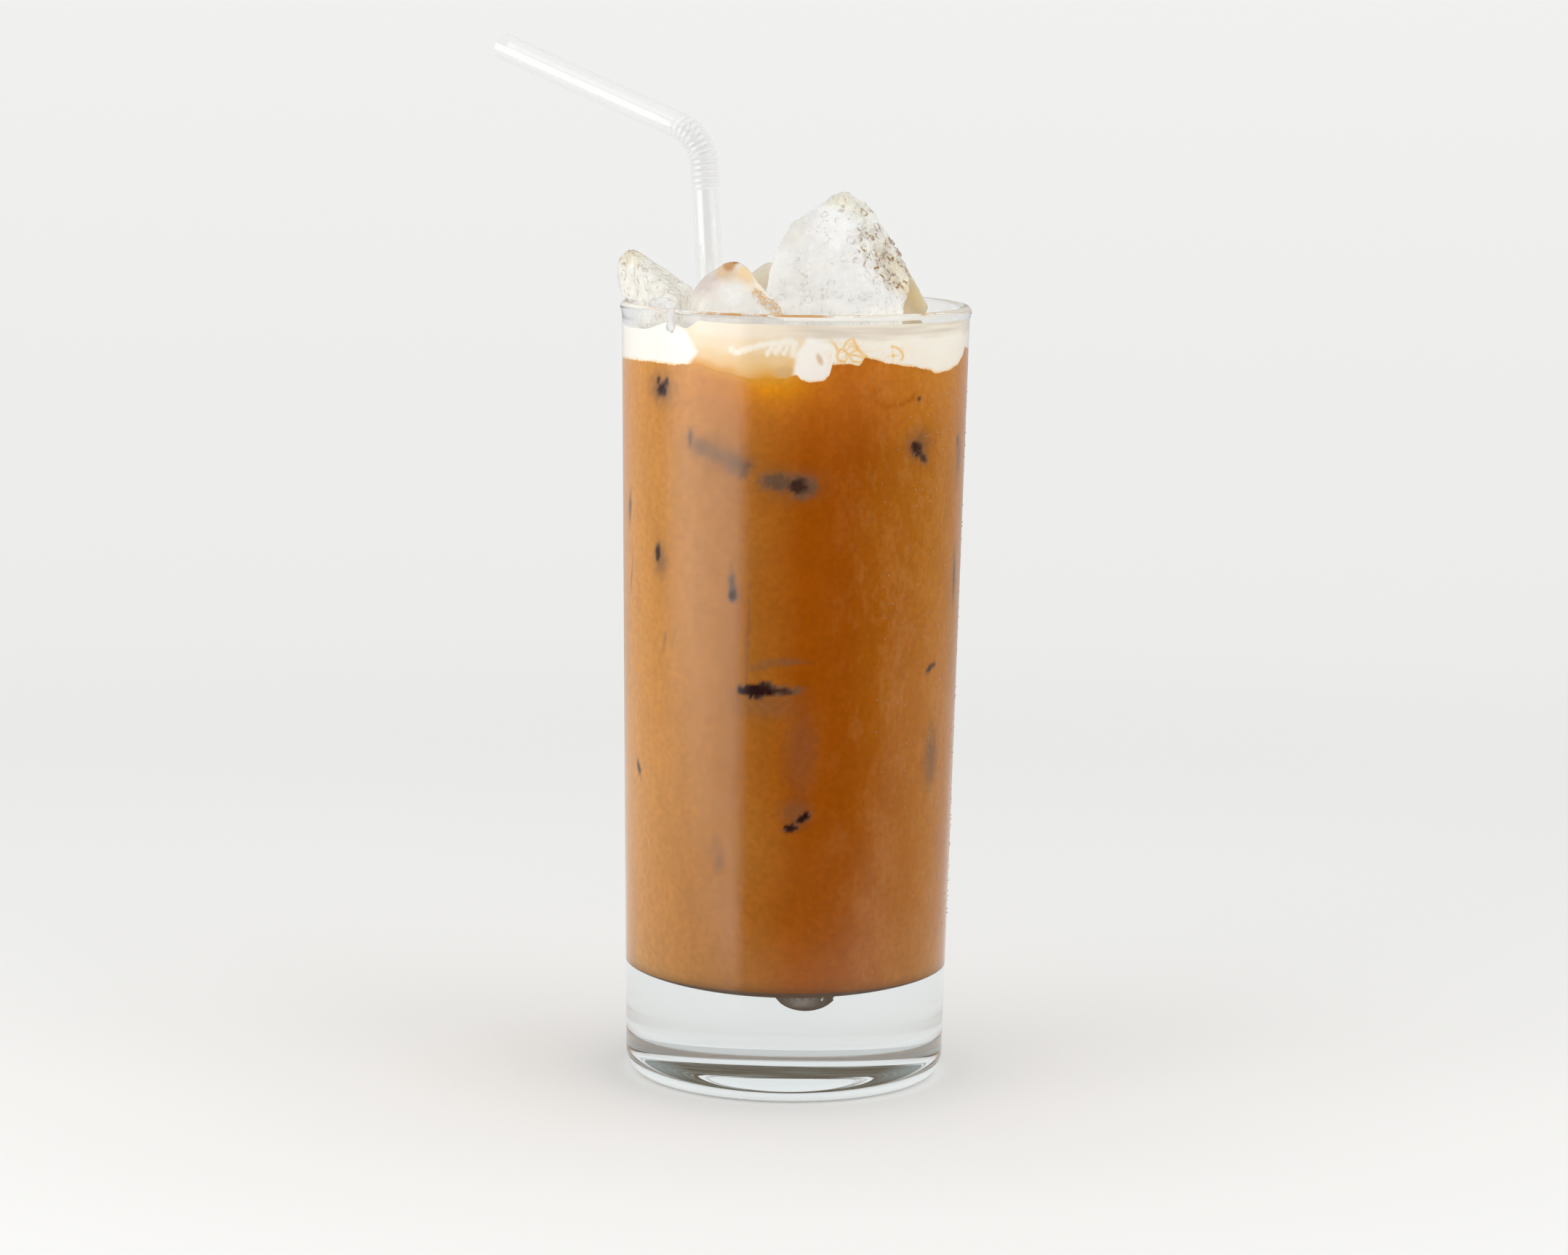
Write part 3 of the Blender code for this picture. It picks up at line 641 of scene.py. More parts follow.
# Cream floating on the coffee: thick and white at both sides, thin and cloudy over the ice at the front.
cream = {
    "around": 720,
    "rows": 56,
    "rings": 26,
    "top": 145.6 * mm,
    "white": "#FFFDF6",
    "warm": "#FFF9EA",             # right-hand stretch, a little stained
    "cloudHigh": "#F3E2C4",
    "cloudLow": "#EBC88C",
    "cloudFoot": "#E0A03A",
    "vein": "#F6BE2E",
    "film": "#F6EDDD",             # thinnest, drawn up the wall behind the rim
    "haze": "#D6CCBF",
    "blob": "#D8B684",             # a bit of clear ice that shows dull in the cloud
    "relief": 0.45 * mm,
    "middleLow": 140.2 * mm,       # underside, on the axis
    "wallRadius": 31.2,            # of the inside of the glass here, in mm
    "ior": 1.35,
    "sunk": 1.2 * mm,              # how far light goes in
    # lines on the wall as half-width in mm and points of angle and height: coffee that has crept up in veins,
    # and brush-like wisps of cream in the cloudy stretch
    "veins": [
        (0.20, [(11.3, 145.6), (13.4, 144.5), (14.4, 143.4), (14.1, 142.4), (14.5, 141.6), (16.8, 141.3)]),
        (0.24, [(19.4, 145.9), (20.2, 144.8), (21.2, 143.8), (22.6, 142.9), (24.4, 142.3)]),
        (0.17, [(14.4, 143.4), (16.1, 143.8), (17.8, 142.7), (20.9, 142.5), (23.7, 141.9)]),
        (0.15, [(16.1, 143.8), (17.4, 145.2), (19.4, 145.9)]),
        (0.15, [(18.5, 142.3), (19.6, 141.4), (23.0, 141.2)]),
        (0.13, [(16.8, 141.3), (17.6, 142.0), (17.8, 142.7)]),
        (0.20, [(34.0, 144.0), (35.6, 143.9), (37.2, 143.4), (38.6, 142.7), (38.9, 142.1), (38.2, 141.5)]),
        (0.22, [(118, 143.6), (124, 142.8), (131, 143.3), (139, 142.2)]),
        (0.20, [(196, 144.0), (201, 142.9), (209, 143.2), (216, 142.0)]),
    ],
    "wisps": [
        (0.45, [(-22.2, 143.4), (-20.1, 142.7), (-16.0, 143.5), (-7.5, 144.7), (-1.0, 145.5)]),
        (0.35, [(-9.4, 142.5), (-8.2, 143.7), (-6.8, 144.7)]),
        (0.50, [(-6.6, 143.0), (-4.6, 144.6), (-2.9, 145.2), (-0.3, 144.5), (-0.9, 142.6)]),
        (0.30, [(-3.6, 142.8), (-2.6, 144.2)]),
    ],
}


def creamHem(degrees):
    points = sorted(((a % 360), h) for a, h in drink["hem"])
    points = [(points[-1][0] - 360, points[-1][1])] + points + [(points[0][0] + 360, points[0][1])]
    d = degrees % 360
    for (a, low), (b, high) in zip(points, points[1:]):
        if a <= d <= b:
            height = low + (high - low) * smoothStep(a, b, d)
            break
    ragged = noise.noise(Vector((d * 0.5, 3, 0))) * 0.22 + noise.noise(Vector((d * 1.5, 8, 0))) * 0.17
    return (height + ragged) * mm


# painted light in the pit's lens: a painted grey reflection across its middle, between edges painted dark as
# shade
def pitShadeAndGleam(across, z):
    gleam = math.exp(-((across / mm + 0.3) / 2.0) ** 2) * smoothStep(14.4, 16.0, z / mm)
    return mixed(linear(drink["pit"]), linear(drink["pitGleam"]), 0.8 * gleam)


# colour of the coffee where it lies against the wall, with light and shade painted into it
def coffeeColour(degrees, z):
    d = drink
    side = turnApart(degrees, 0)
    around = Vector((math.cos(math.radians(side)), math.sin(math.radians(side)), 0))
    level = z / mm
    swirl = noise.noise(around * 3 + Vector((0, 0, level / 14)))
    # painted light and shade round the glass: lighter on the left flank under the soft box, darkest just
    # right of the front
    stops = [(-180, "back"), (-68, "flank"), (-20, "turn"), (4, "deep"), (20, "deep"), (62, "edge"),
             (180, "back")]
    at = min(179.9, max(-179.9, side + 4 * swirl))
    for (a, first), (b, second) in zip(stops, stops[1:]):
        if a <= at <= b:
            colour = mixed(linear(d[first]), linear(d[second]), (at - a) / (b - a))
            break
    high = smoothStep(120, 140, level + 2.5 * swirl)
    lift = 1 + 0.32 * high * math.exp(-((side - 12) / 42) ** 2)
    colour = tuple(min(1.0, c * lift) for c in colour[:3]) + (1.0,)
    colour = mixed(colour, linear(d["upper"]), 0.30 * high)
    glow = math.exp(-((side + 8) / 13) ** 2 - ((level - 137.5) / 3.8) ** 2)
    colour = mixed(colour, linear(d["gold"]), min(1.0, 0.95 * glow))
    if level > 134 and -42 < side < 4:
        below = creamHem(degrees) / mm - level
        near = (1 - smoothStep(-0.2, 2.4, below)) * smoothStep(-42, -34, side) * (1 - smoothStep(-2, 3, side))
        colour = mixed(colour, linear(cream["cloudFoot"]), 0.8 * near)
    radius = outerRadius(z) / mm
    dark = 0.0
    for at, height, wide, tall, tilt, strength, soft in iceMarks:
        u = math.radians(turnApart(side, at)) * radius
        v = level - height
        if max(abs(u), abs(v)) > 3 * (wide + tall):
            continue
        t = math.radians(tilt)
        u, v = u * math.cos(t) - v * math.sin(t), u * math.sin(t) + v * math.cos(t)
        jag = noise.noise(Vector((u * 1.1, v * 1.1, at))) * 0.34
        jag += noise.noise(Vector((u * 3, v * 3, at))) * 0.10
        reach = math.hypot(u / wide, v / tall) + jag
        dark = max(dark, strength * (1 - smoothStep(1 - 0.85 * soft, 1 + 0.8 * soft, reach)))
    for at, height, wide, tall, strength in ringMarks:
        u, v = math.radians(turnApart(side, at)) * radius, level - height
        reach = math.hypot(u / wide, v / tall)
        rim = math.exp(-((reach - 1) * min(wide, tall) / 0.35) ** 2) * (1 if v < 0 else 0.35)
        colour = mixed(colour, linear(d["deep"]), strength * rim)
    colour = mixed(linear(d["foot"]), colour, 0.80 + 0.20 * smoothStep(26, 62, level + 4 * swirl))
    colour = mixed(linear(d["iceHaloAndShade"]), colour, smoothStep(20.5, 21.4, level))      # the floor is in shade
    colour = mixed(colour, linear(d["iceHaloAndShade"]), min(1.0, dark * 1.6))
    colour = mixed(colour, linear(d["iceCore"]), smoothStep(0.45, 1.0, dark))
    return colour


# Milk coffee: an opaque emulsion, so that its surface against the glass looks matt and even.
def coffeeMaterial():
    material, tree = newMaterial("coffee with milk")
    colour = addNode(tree, "ShaderNodeAttribute", attribute_name="Col")
    place = addNode(tree, "ShaderNodeTexCoord").outputs["Object"]
    fine = addNode(tree, "ShaderNodeTexNoise", {
        "Vector": place, "Scale": 1 / drink["fineGrain"], "Detail": 3.0})
    tall = addNode(tree, "ShaderNodeVectorMath", {0: place, 1: (1, 1, 0.5)}, operation="MULTIPLY")
    broad = addNode(tree, "ShaderNodeTexNoise", {
        "Vector": tall, "Scale": 1 / drink["broadGrain"], "Detail": 7.0, "Roughness": 0.75})
    both = addNode(tree, "ShaderNodeMath", {0: fine, 1: broad}, operation="MULTIPLY")
    grain = addNode(tree, "ShaderNodeMapRange", {
        "Value": both, "From Min": 0.14, "From Max": 0.36, "To Min": 0.91, "To Max": 1.09})
    spot = addNode(tree, "ShaderNodeSeparateXYZ", {0: place})
    # painted veil of light scattered by the dew, in patches right of the front
    near, far = drink["hazyAcross"]
    sideways = addNode(tree, "ShaderNodeMapRange", {
        "Value": spot.outputs["X"], "From Min": axisX + near, "From Max": axisX + far,
        "To Max": drink["hazyShare"]}, **smooth)
    veiled = addNode(tree, "ShaderNodeMapRange", {
        "Value": broad, "From Min": 0.47, "From Max": 0.62}, **smooth)
    amount = addNode(tree, "ShaderNodeMath", {0: sideways, 1: veiled}, operation="MULTIPLY")
    tinted = addNode(tree, "ShaderNodeMixRGB", {
        "Fac": amount, "Color1": colour, "Color2": linear(drink["hazy"])})
    mottled = addNode(tree, "ShaderNodeVectorMath", {0: tinted, "Scale": grain}, operation="SCALE")
    body = addNode(tree, "ShaderNodeBsdfPrincipled", {
        "Base Color": mottled, "Roughness": 0.5, "IOR": drink["ior"], "Specular IOR Level": 0.0})
    addNode(tree, "ShaderNodeOutputMaterial", {"Surface": body})
    return material


def buildCoffee():
    d, s = drink, glassShape
    sides, rows = d["around"], d["rows"]
    profile = cavityProfile(-d["intoWall"], 100 * mm, floorSteps=40)[:-1]
    verts, faces = lathe(profile, sides)
    reach = s["pitRadius"] + d["intoWall"]
    sunk = s["floorHeight"] - s["pitDepth"] + s["pitRadius"]
    for i, (x, y, z) in enumerate(verts):
        away = math.hypot(x - axisX - s["pitOffset"], y)
        if away < reach:
            verts[i] = (x, y, min(z, sunk - math.sqrt(reach ** 2 - away ** 2)))
    last = list(range(len(verts) - sides, len(verts)))
    lowZ = profile[-1][1]
    hems = [creamHem(360 * i / sides) for i in range(sides)]
    for k in range(1, rows + 1):
        ring = list(range(len(verts), len(verts) + sides))
        for i in range(sides):
            z = lowZ + (hems[i] - lowZ) * k / rows
            verts.append(onWall(outerRadius(z) - s["wall"] + d["intoWall"], 360 * i / sides, z))
        faces += band(last, ring)
        last = ring
    ring = list(range(len(verts), len(verts) + sides))
    for i, z in enumerate(hems):
        verts.append(onWall(outerRadius(z) - s["wall"] - 0.1 * mm, 360 * i / sides, z + d["tuck"]))
    faces += band(last, ring)
    verts.append((axisX, 0, d["middleTop"]))
    faces += fan(ring, len(verts) - 1)
    coffee = pieceFrom("coffeeFill", verts, faces, coffeeMaterial(), "coffee", "coffee", smoothAngle=50)
    paint(coffee, "Col", [
        pitShadeAndGleam(x - axisX - s["pitOffset"], z) if z < s["floorHeight"]
        else coffeeColour(math.degrees(math.atan2(x - axisX, -y)), z) for x, y, z in verts])
    return coffee


buildCoffee()
print("coffee poured")


def creamTop(degrees):
    side = turnApart(degrees, 0)
    bump = 2.0 * math.exp(-((side + 47) / 9) ** 2) + 0.4 * noise.noise(Vector((side * 0.06, 1, 5)))
    bump += 2.6 * smoothStep(-41, -33, side) * (1 - 0.8 * smoothStep(80, 110, side))
    return cream["top"] + bump * mm


# distance in mm along the wall from a place to a line of angles and heights
def toLine(side, level, points):
    radius = cream["wallRadius"]
    here = Vector((math.radians(side) * radius, level))
    line = [Vector((math.radians(a) * radius, h)) for a, h in points]
    nearest = 99.0
    for a, b in zip(line, line[1:]):
        t = min(1.0, max(0.0, (here - a).dot(b - a) / (b - a).length_squared))
        nearest = min(nearest, (here - a.lerp(b, t)).length)
    return nearest


# 1 on any of the lines, fading to 0 at twice its half-width
def onLines(side, level, lines, ragged):
    most = 0.0
    for half, points in lines:
        if points[0][0] - 6 < side < max(a for a, h in points) + 6:
            away = toLine(side, level, points) / half + ragged
            most = max(most, 1 - smoothStep(0.3, 2.0, away))
    return most


def creamColour(degrees, z, hem):
    c = cream
    side, level = turnApart(degrees, 0), z / mm
    rise = level - hem / mm
    warp = noise.noise(Vector((side * 0.16, level * 0.5, 2)))
    fibre = noise.noise(Vector((side * 1.1, level * 0.9 + side * 0.25, 7)))
    colour = mixed(linear(c["white"]), linear(c["warm"]), smoothStep(10, 34, side) * (0.7 + 0.5 * warp))
    cloudy = smoothStep(-36.5, -34, side + 2 * warp + 0.9 * abs(level - 142.4) ** 1.3) * \
        (1 - smoothStep(-1.5, 0.8, side + 1.2 * warp - 0.8 * max(0.0, level - 141.5)))
    if cloudy > 0:
        upward = smoothStep(140.2, 144.8, level + 1.2 * warp)
        cloud = mixed(linear(c["cloudLow"]), linear(c["cloudHigh"]), upward)
        foot = min(smoothStep(137.2, 140.8, level + 0.8 * warp), smoothStep(-0.3, 2.0, rise + 0.8 * warp))
        cloud = mixed(linear(c["cloudFoot"]), cloud, foot)
        spot = math.hypot(turnApart(side, -3.6) * 0.55 / 1.8, (level - 139.3) / 1.2) + 0.4 * warp
        cloud = mixed(cloud, linear(c["blob"]), 0.7 * (1 - smoothStep(0.6, 1.2, spot)))
        wisp = onLines(side, level, c["wisps"], 0.9 * fibre + 0.5 * warp)
        cloud = mixed(cloud, linear(c["white"]), 0.75 * wisp)
        colour = mixed(colour, cloud, cloudy)
    wash = math.exp(-((side - 18.5) / 5.5) ** 2) * (1 - smoothStep(144.5, 146.0, level))
    colour = mixed(colour, linear(c["cloudLow"]), 0.30 * wash * (0.6 + 0.8 * fibre))
    vein = onLines(side % 360 if abs(side) > 90 else side, level, c["veins"], 0.5 * fibre)
    colour = mixed(colour, linear(c["vein"]), 0.70 * vein)
    patch = math.exp(-((side - 18) / 7) ** 2 - ((level - 143.0) / 1.9) ** 2)
    patch += math.exp(-((side - 36) / 5) ** 2 - ((level - 142.3) / 1.5) ** 2)
    web = 1 - smoothStep(0.0, 0.12, abs(noise.noise(Vector((side * 0.26, level * 0.58, 11)))))
    colour = mixed(colour, linear(c["vein"]), 0.75 * web * min(1.0, patch))
    hole = math.hypot(turnApart(side, 8.2 - 0.6 * (level - 141.8)) * 0.55 / 0.6, (level - 141.8) / 1.2)
    colour = mixed(colour, linear(c["blob"]), 0.75 * (1 - smoothStep(0.4, 1.3, hole)))
    streaks = noise.noise(Vector((side * 0.05, level * 1.3, 21)))
    filmy = smoothStep(144.8, 146.4, level + 0.8 * warp) * smoothStep(-40, -32, side)
    colour = mixed(colour, linear(c["film"]), 0.85 * filmy)
    colour = mixed(colour, linear(c["haze"]), filmy * smoothStep(-8, 6, side) * (0.40 + 0.8 * streaks))
    stained = 1 - smoothStep(0.05, 0.55, rise + 0.3 * warp)
    return mixed(colour, linear(c["vein"]), 0.55 * stained * (1 - cloudy))


# Single cream: a thick emulsion with a wet satin surface, where light sinks in and softens every fold.
def creamMaterial():
    material, tree = newMaterial("cream, single")
    colour = addNode(tree, "ShaderNodeAttribute", attribute_name="Col")
    body = addNode(tree, "ShaderNodeBsdfPrincipled", {
        "Base Color": colour, "Roughness": 0.35, "IOR": cream["ior"], "Specular IOR Level": 0.2,
        "Subsurface Weight": 0.15, "Subsurface Scale": cream["sunk"], "Subsurface Radius": (1.0, 0.75, 0.5)})
    addNode(tree, "ShaderNodeOutputMaterial", {"Surface": body})
    return material


def buildCream():
    c, d, s = cream, drink, glassShape
    sides, rows = c["around"], c["rows"]
    verts, faces, colours = [(axisX, 0, c["middleLow"])], [], [linear(c["white"])]
    hems = [creamHem(360 * i / sides) for i in range(sides)]
    tops = [creamTop(360 * i / sides) for i in range(sides)]
    for k in range(rows + 1):
        ring = list(range(len(verts), len(verts) + sides))
        for i in range(sides):
            z = hems[i] + (tops[i] - hems[i]) * k / rows
            verts.append(onWall(outerRadius(z) - s["wall"] + d["intoWall"], 360 * i / sides, z))
            colours.append(creamColour(360 * i / sides, z, hems[i]))
        faces += fan(ring[::-1], 0) if k == 0 else band(last, ring)
        last = ring
    for k in range(1, c["rings"]):
        share = 1 - k / c["rings"]
        ring = list(range(len(verts), len(verts) + sides))
        for i in range(sides):
            x, y, z = onWall((outerRadius(tops[i]) - s["wall"]) * share, 360 * i / sides, 0)
            lump = noise.noise(Vector((x, y, 0)) * 160) + 0.4 * noise.noise(Vector((x, y, 0.01)) * 420)
            z = tops[i] * share ** 6 + c["top"] * (1 - share ** 6)
            z += lump * c["relief"] * min(1, 8 * (1 - share))
            verts.append((x, y, z))
            stain = smoothStep(0.15, 0.6, noise.noise(Vector((x, y, 2)) * 130))
            colours.append(mixed(linear(c["white"]), linear(c["cloudLow"]), 0.35 * stain))
        faces += band(last, ring)
        last = ring
    verts.append((axisX, 0, c["top"]))
    colours.append(linear(c["white"]))
    faces += fan(last, len(verts) - 1)
    piece = pieceFrom("creamLayer", verts, faces, creamMaterial(), "cream", "cream", smoothAngle=60)
    paint(piece, "Col", colours)
    return piece


buildCream()
print("cream floated")


# Ice. Spots are centre in mm about the glass's axis, radius, colour, cloudiness 0-1 and crackle 0-1; the
# base entry holds where no spot reaches.
ice = {
    "ice_peak": {"fine": 3, "relief": 0.34, "grain": 2.2, "base": ("#FEFEFD", 0.60, 0.30), "spots": [
        ((8, 0, 171.5), 5.0, "#F7EEDC", 0.55, 0.8), ((12.5, 0, 168.5), 4.0, "#FAF5EA", 0.55, 0.8),
        ((-2, 0, 164), 6.0, "#F3F1EC", 0.55, 0.04), ((-4, 0, 157), 5.5, "#F9F9F7", 0.65, 0.04),
        ((5, 0, 157), 4.8, "#F6F5F2", 0.65, 0.12), ((7, 0, 164.5), 4.8, "#F6F6F5", 0.74, 0.30),
        ((14.5, 0, 161.5), 5.0, "#FAF6EE", 0.60, 1.1), ((18, 0, 158.5), 5.5, "#F9F3E8", 0.55, 1.2),
        ((20.5, 0, 155.5), 4.6, "#F6EDDC", 0.55, 1.1), ((22.5, 0, 153), 3.0, "#E8DABC", 0.60, 0.5),
        ((0, 0, 148), 6.0, "#FEFDFA", 0.90, 0.10), ((9, 0, 146.5), 7.5, "#FFFBF0", 0.90, 0.12),
        ((17, 0, 146), 6.5, "#FFFAEE", 0.90, 0.15)]},
    "ice_left": {"fine": 3, "relief": 0.22, "grain": 1.7, "base": ("#FFFAF0", 0.55, 0.45), "spots": [
        ((-32, 0, 159.5), 4.0, "#F3E8D2", 0.50, 0.7), ((-27, 0, 154), 3.5, "#FDF8EC", 0.55, 0.5)]},
    "ice_hump": {"fine": 3, "relief": 0.12, "grain": 3.2, "base": ("#FBF7F2", 0.55, 0.05), "spots": [
        ((-17.5, -18, 154.8), 4.4, "#E4D9D6", 0.60, 0.03), ((-17, -18, 151), 3.0, "#F4ECE2", 0.70, 0.03),
        ((-9.4, -18, 156.3), 2.8, "#EFD2A8", 0.75, 0.05), ((-7.6, -18, 153.6), 2.6, "#F6E3C8", 0.75, 0.10),
        ((-13.4, -18, 157.0), 2.6, "#E0C6A8", 0.75, 0.10), ((-12.6, -18, 158.4), 1.8, "#C09468", 0.85, 0.10),
        ((-11.3, -18, 159.2), 1.1, "#96663E", 0.95, 0.10),
        ((-11.4, -18, 151.8), 3.0, "#FEFDFB", 0.80, 0.05)]},
    "ice_back_right": {"fine": 3, "relief": 0.16, "grain": 2.6, "base": ("#E6D6BA", 0.45, 0.10), "spots": [
        ((18, 14, 162), 3.5, "#DDC9A6", 0.5, 0.4), ((25, 15, 151), 4.0, "#E0CCA8", 0.5, 0.1)]},
    "ice_back_middle": {"fine": 3, "relief": 0.16, "grain": 2.6, "base": ("#F1E8D8", 0.50, 0.10),
                        "spots": []},
}


# Fresh-water ice, cracked from a block and melting: glassy where it has melted smooth, milky where trapped
# air scatters the light, pitted with bubbles whose rims look brown where they catch the drink.
iceFinish = {
    "ior": 1.31,
    "passing": "#E7E7E6",
    "brown": "#8E6C46",            # drink that has stayed in the pits
    "waves": 2.381 * mm,
    "bend": 1.1 * mm,              # how far the waves push the bubbles out of line
    "bubbles": 2.12766 * mm,
    "wrinkles": 1.0 * mm,
    "haze": 3.84615 * mm,
    "relief": 0.32 * mm,
    "sunk": 6.0 * mm,              # how far light goes in
}


def iceMaterial():
    f = iceFinish
    material, tree = newMaterial("ice")
    place = addNode(tree, "ShaderNodeTexCoord").outputs["Object"]
    colour = addNode(tree, "ShaderNodeAttribute", attribute_name="Col")
    state = addNode(tree, "ShaderNodeSeparateXYZ", {
        0: addNode(tree, "ShaderNodeAttribute", attribute_name="State").outputs["Vector"]})
    bend = addNode(tree, "ShaderNodeTexNoise", {"Vector": place, "Scale": 1 / f["waves"], "Detail": 2.0})
    bent = addNode(tree, "ShaderNodeVectorMath", {
        0: bend.outputs["Color"], 1: (f["bend"],) * 3, 2: place}, operation="MULTIPLY_ADD")
    bubble = addNode(tree, "ShaderNodeTexVoronoi", {"Vector": bent, "Scale": 1 / f["bubbles"]}, feature="F1")
    offRim = addNode(tree, "ShaderNodeMath", {0: bubble, 1: 0.36}, operation="SUBTRACT")
    nearRim = addNode(tree, "ShaderNodeMath", {0: offRim}, operation="ABSOLUTE")
    rim = addNode(tree, "ShaderNodeMapRange", {
        "Value": nearRim, "From Min": 0.03, "From Max": 0.12, "To Min": 1.0, "To Max": 0.0}, **smooth)
    wrinkle = addNode(tree, "ShaderNodeTexNoise", {
        "Vector": bent, "Scale": 1 / f["wrinkles"], "Detail": 4.0, "Roughness": 0.6})
    heights = addNode(tree, "ShaderNodeMath", {0: wrinkle, 1: 1.1, 2: rim}, operation="MULTIPLY_ADD")
    crackle = addNode(tree, "ShaderNodeMath", {0: heights, 1: state.outputs["Y"]}, operation="MULTIPLY")
    wave = addNode(tree, "ShaderNodeMath", {0: bend, 1: 0.25, 2: crackle}, operation="MULTIPLY_ADD")
    bump = addNode(tree, "ShaderNodeBump", {"Height": wave, "Strength": 0.9, "Distance": f["relief"]})
    pits = addNode(tree, "ShaderNodeMapRange", {
        "Value": wrinkle, "From Min": 0.48, "From Max": 0.58}, **smooth)
    shade = addNode(tree, "ShaderNodeMath", {0: rim, 1: pits}, operation="MULTIPLY")
    speck = addNode(tree, "ShaderNodeMath", {
        0: shade, 1: state.outputs["Y"]}, operation="MULTIPLY", use_clamp=True)
    haze = addNode(tree, "ShaderNodeTexNoise", {
        "Vector": place, "Scale": 1 / f["haze"], "Detail": 5.0, "Roughness": 0.65})
    cloud = addNode(tree, "ShaderNodeMapRange", {
        "Value": haze, "From Min": 0.35, "From Max": 0.7, "To Min": -0.25, "To Max": 0.3})
    uneven = addNode(tree, "ShaderNodeMath", {
        0: state.outputs["Y"], 1: 0.8, 2: 0.06}, operation="MULTIPLY_ADD")
    clear = addNode(tree, "ShaderNodeMath", {
        0: cloud, 1: uneven, 2: state.outputs["X"]}, operation="MULTIPLY_ADD")
    through = addNode(tree, "ShaderNodeMath", {0: 1.0, 1: clear}, operation="SUBTRACT", use_clamp=True)
    rough = addNode(tree, "ShaderNodeMapRange", {"Value": haze, "To Min": 0.05, "To Max": 0.22})
    ice = addNode(tree, "ShaderNodeBsdfPrincipled", {
        "Base Color": colour, "Roughness": rough, "IOR": f["ior"], "Transmission Weight": through,
        "Normal": bump, "Subsurface Weight": 1.0, "Subsurface Scale": f["sunk"],
        "Subsurface Radius": (1.0, 0.97, 0.94)})
    brown = addNode(tree, "ShaderNodeBsdfDiffuse", {"Color": linear(f["brown"])})
    stained = addNode(tree, "ShaderNodeMath", {0: speck, 1: state.outputs["Z"]}, operation="MAXIMUM")
    body = addNode(tree, "ShaderNodeMixShader", {"Fac": stained, 1: ice, 2: brown})
    addNode(tree, "ShaderNodeOutputMaterial", {"Surface": lightPassing(tree, body, f["passing"])})
    return material


# colour, cloudiness and crackle at a place given in mm about the glass's axis
def iceState(spec, place):
    colour, cloud, crackle = linear(spec["base"][0]), spec["base"][1], spec["base"][2]
    for centre, radius, hexColour, spotCloud, spotCrackle in spec["spots"]:
        apart = place - Vector(centre)
        apart.y *= 0.3                 # spots reach further front to back than sideways
        away = apart.length / radius + 0.25 * noise.noise(place * 0.45)
        t = 1 - smoothStep(0.45, 1.10, away)
        if t > 0:
            colour = mixed(colour, linear(hexColour), t)
            cloud += (spotCloud - cloud) * t
            crackle += (spotCrackle - crackle) * t
    return colour, cloud, crackle


def buildIce(name, material):
    spec = ice[name]
    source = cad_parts[name]
    bm = bmesh.new()
    bm.from_mesh(source.data)
    bm.transform(source.matrix_world)
    bmesh.ops.remove_doubles(bm, verts=bm.verts, dist=1e-5)
    chunk = placedMesh(name + "Chunk", bm)
    finer = chunk.modifiers.new("finer", "SUBSURF")
    finer.levels = finer.render_levels = spec["fine"]
    bakeModifiers(chunk)
    colours, states = [], []
    normals = [v.normal.copy() for v in chunk.data.vertices]
    for vert, normal in zip(chunk.data.vertices, normals):
        place = Vector(((vert.co.x - axisX) / mm, vert.co.y / mm, vert.co.z / mm))
        colour, cloud, crackle = iceState(spec, place)
        broad = noise.noise(place / spec["grain"])
        crags = 1 - 2 * abs(noise.noise(place / (spec["grain"] * 0.5) + Vector((5, 1, 2))))
        if name == "ice_peak":         # an older break has left a ledge across its foot
            ledge = 1 - smoothStep(151.6, 152.4, place.z + 0.05 * place.x + 0.5 * broad)
            broad += (2.6 * ledge - 1.3) * smoothStep(-3, -8, place.y)
        # burst bubbles: round pits with a raised lip, brown where drink has stayed in them
        apart, centres = noise.voronoi(place / 2.1 + Vector((3, 1, 7)))
        wide = 0.20 + 0.22 * abs(noise.cell(centres[0] * 9))
        lip = math.exp(-((apart[0] - wide) / 0.07) ** 2)
        bowl = 1 - smoothStep(wide * 0.5, wide, apart[0])
        burst = min(1.0, crackle) ** 2
        shift = broad * 0.5 + crags * (0.1 + 0.5 * crackle) + (1.1 * lip - 1.3 * bowl) * burst - 0.4
        vert.co += normal * shift * spec["relief"] * mm
        colours.append(colour)
        stain = smoothStep(-0.05, 0.20, noise.noise(place * 0.9 + Vector((8, 8, 8))))
        states.append((cloud, crackle, 0.95 * lip * stain * smoothStep(0.75, 1.05, crackle), 1))
    dressed(chunk, material, "ice", name)
    paint(chunk, "Col", colours)
    paint(chunk, "State", states)
    return chunk


iceLook = iceMaterial()
chunks = {name: buildIce(name, iceLook) for name in ice}
print("ice set in:", {name: len(chunk.data.polygons) for name, chunk in chunks.items()})


# a geometry tree with named inputs; gives the tree, its input and output nodes and the sockets' identifiers
def newTree(name, inputs):
    tree = bpy.data.node_groups.new(name, "GeometryNodeTree")
    tree.interface.new_socket("Geometry", in_out="INPUT", socket_type="NodeSocketGeometry")
    tree.interface.new_socket("Geometry", in_out="OUTPUT", socket_type="NodeSocketGeometry")
    keys = {}
    for label, kind in inputs:
        keys[label] = tree.interface.new_socket(label, in_out="INPUT", socket_type=kind).identifier
    return tree, tree.nodes.new("NodeGroupInput"), tree.nodes.new("NodeGroupOutput"), keys


def runTree(obj, tree, keys, values):
    modifier = obj.modifiers.new(tree.name, "NODES")
    modifier.node_group = tree
    for label, value in values.items():
        modifier[keys[label]] = value
    obj.update_tag()
    bpy.context.view_layer.update()
    return bakeModifiers(obj)


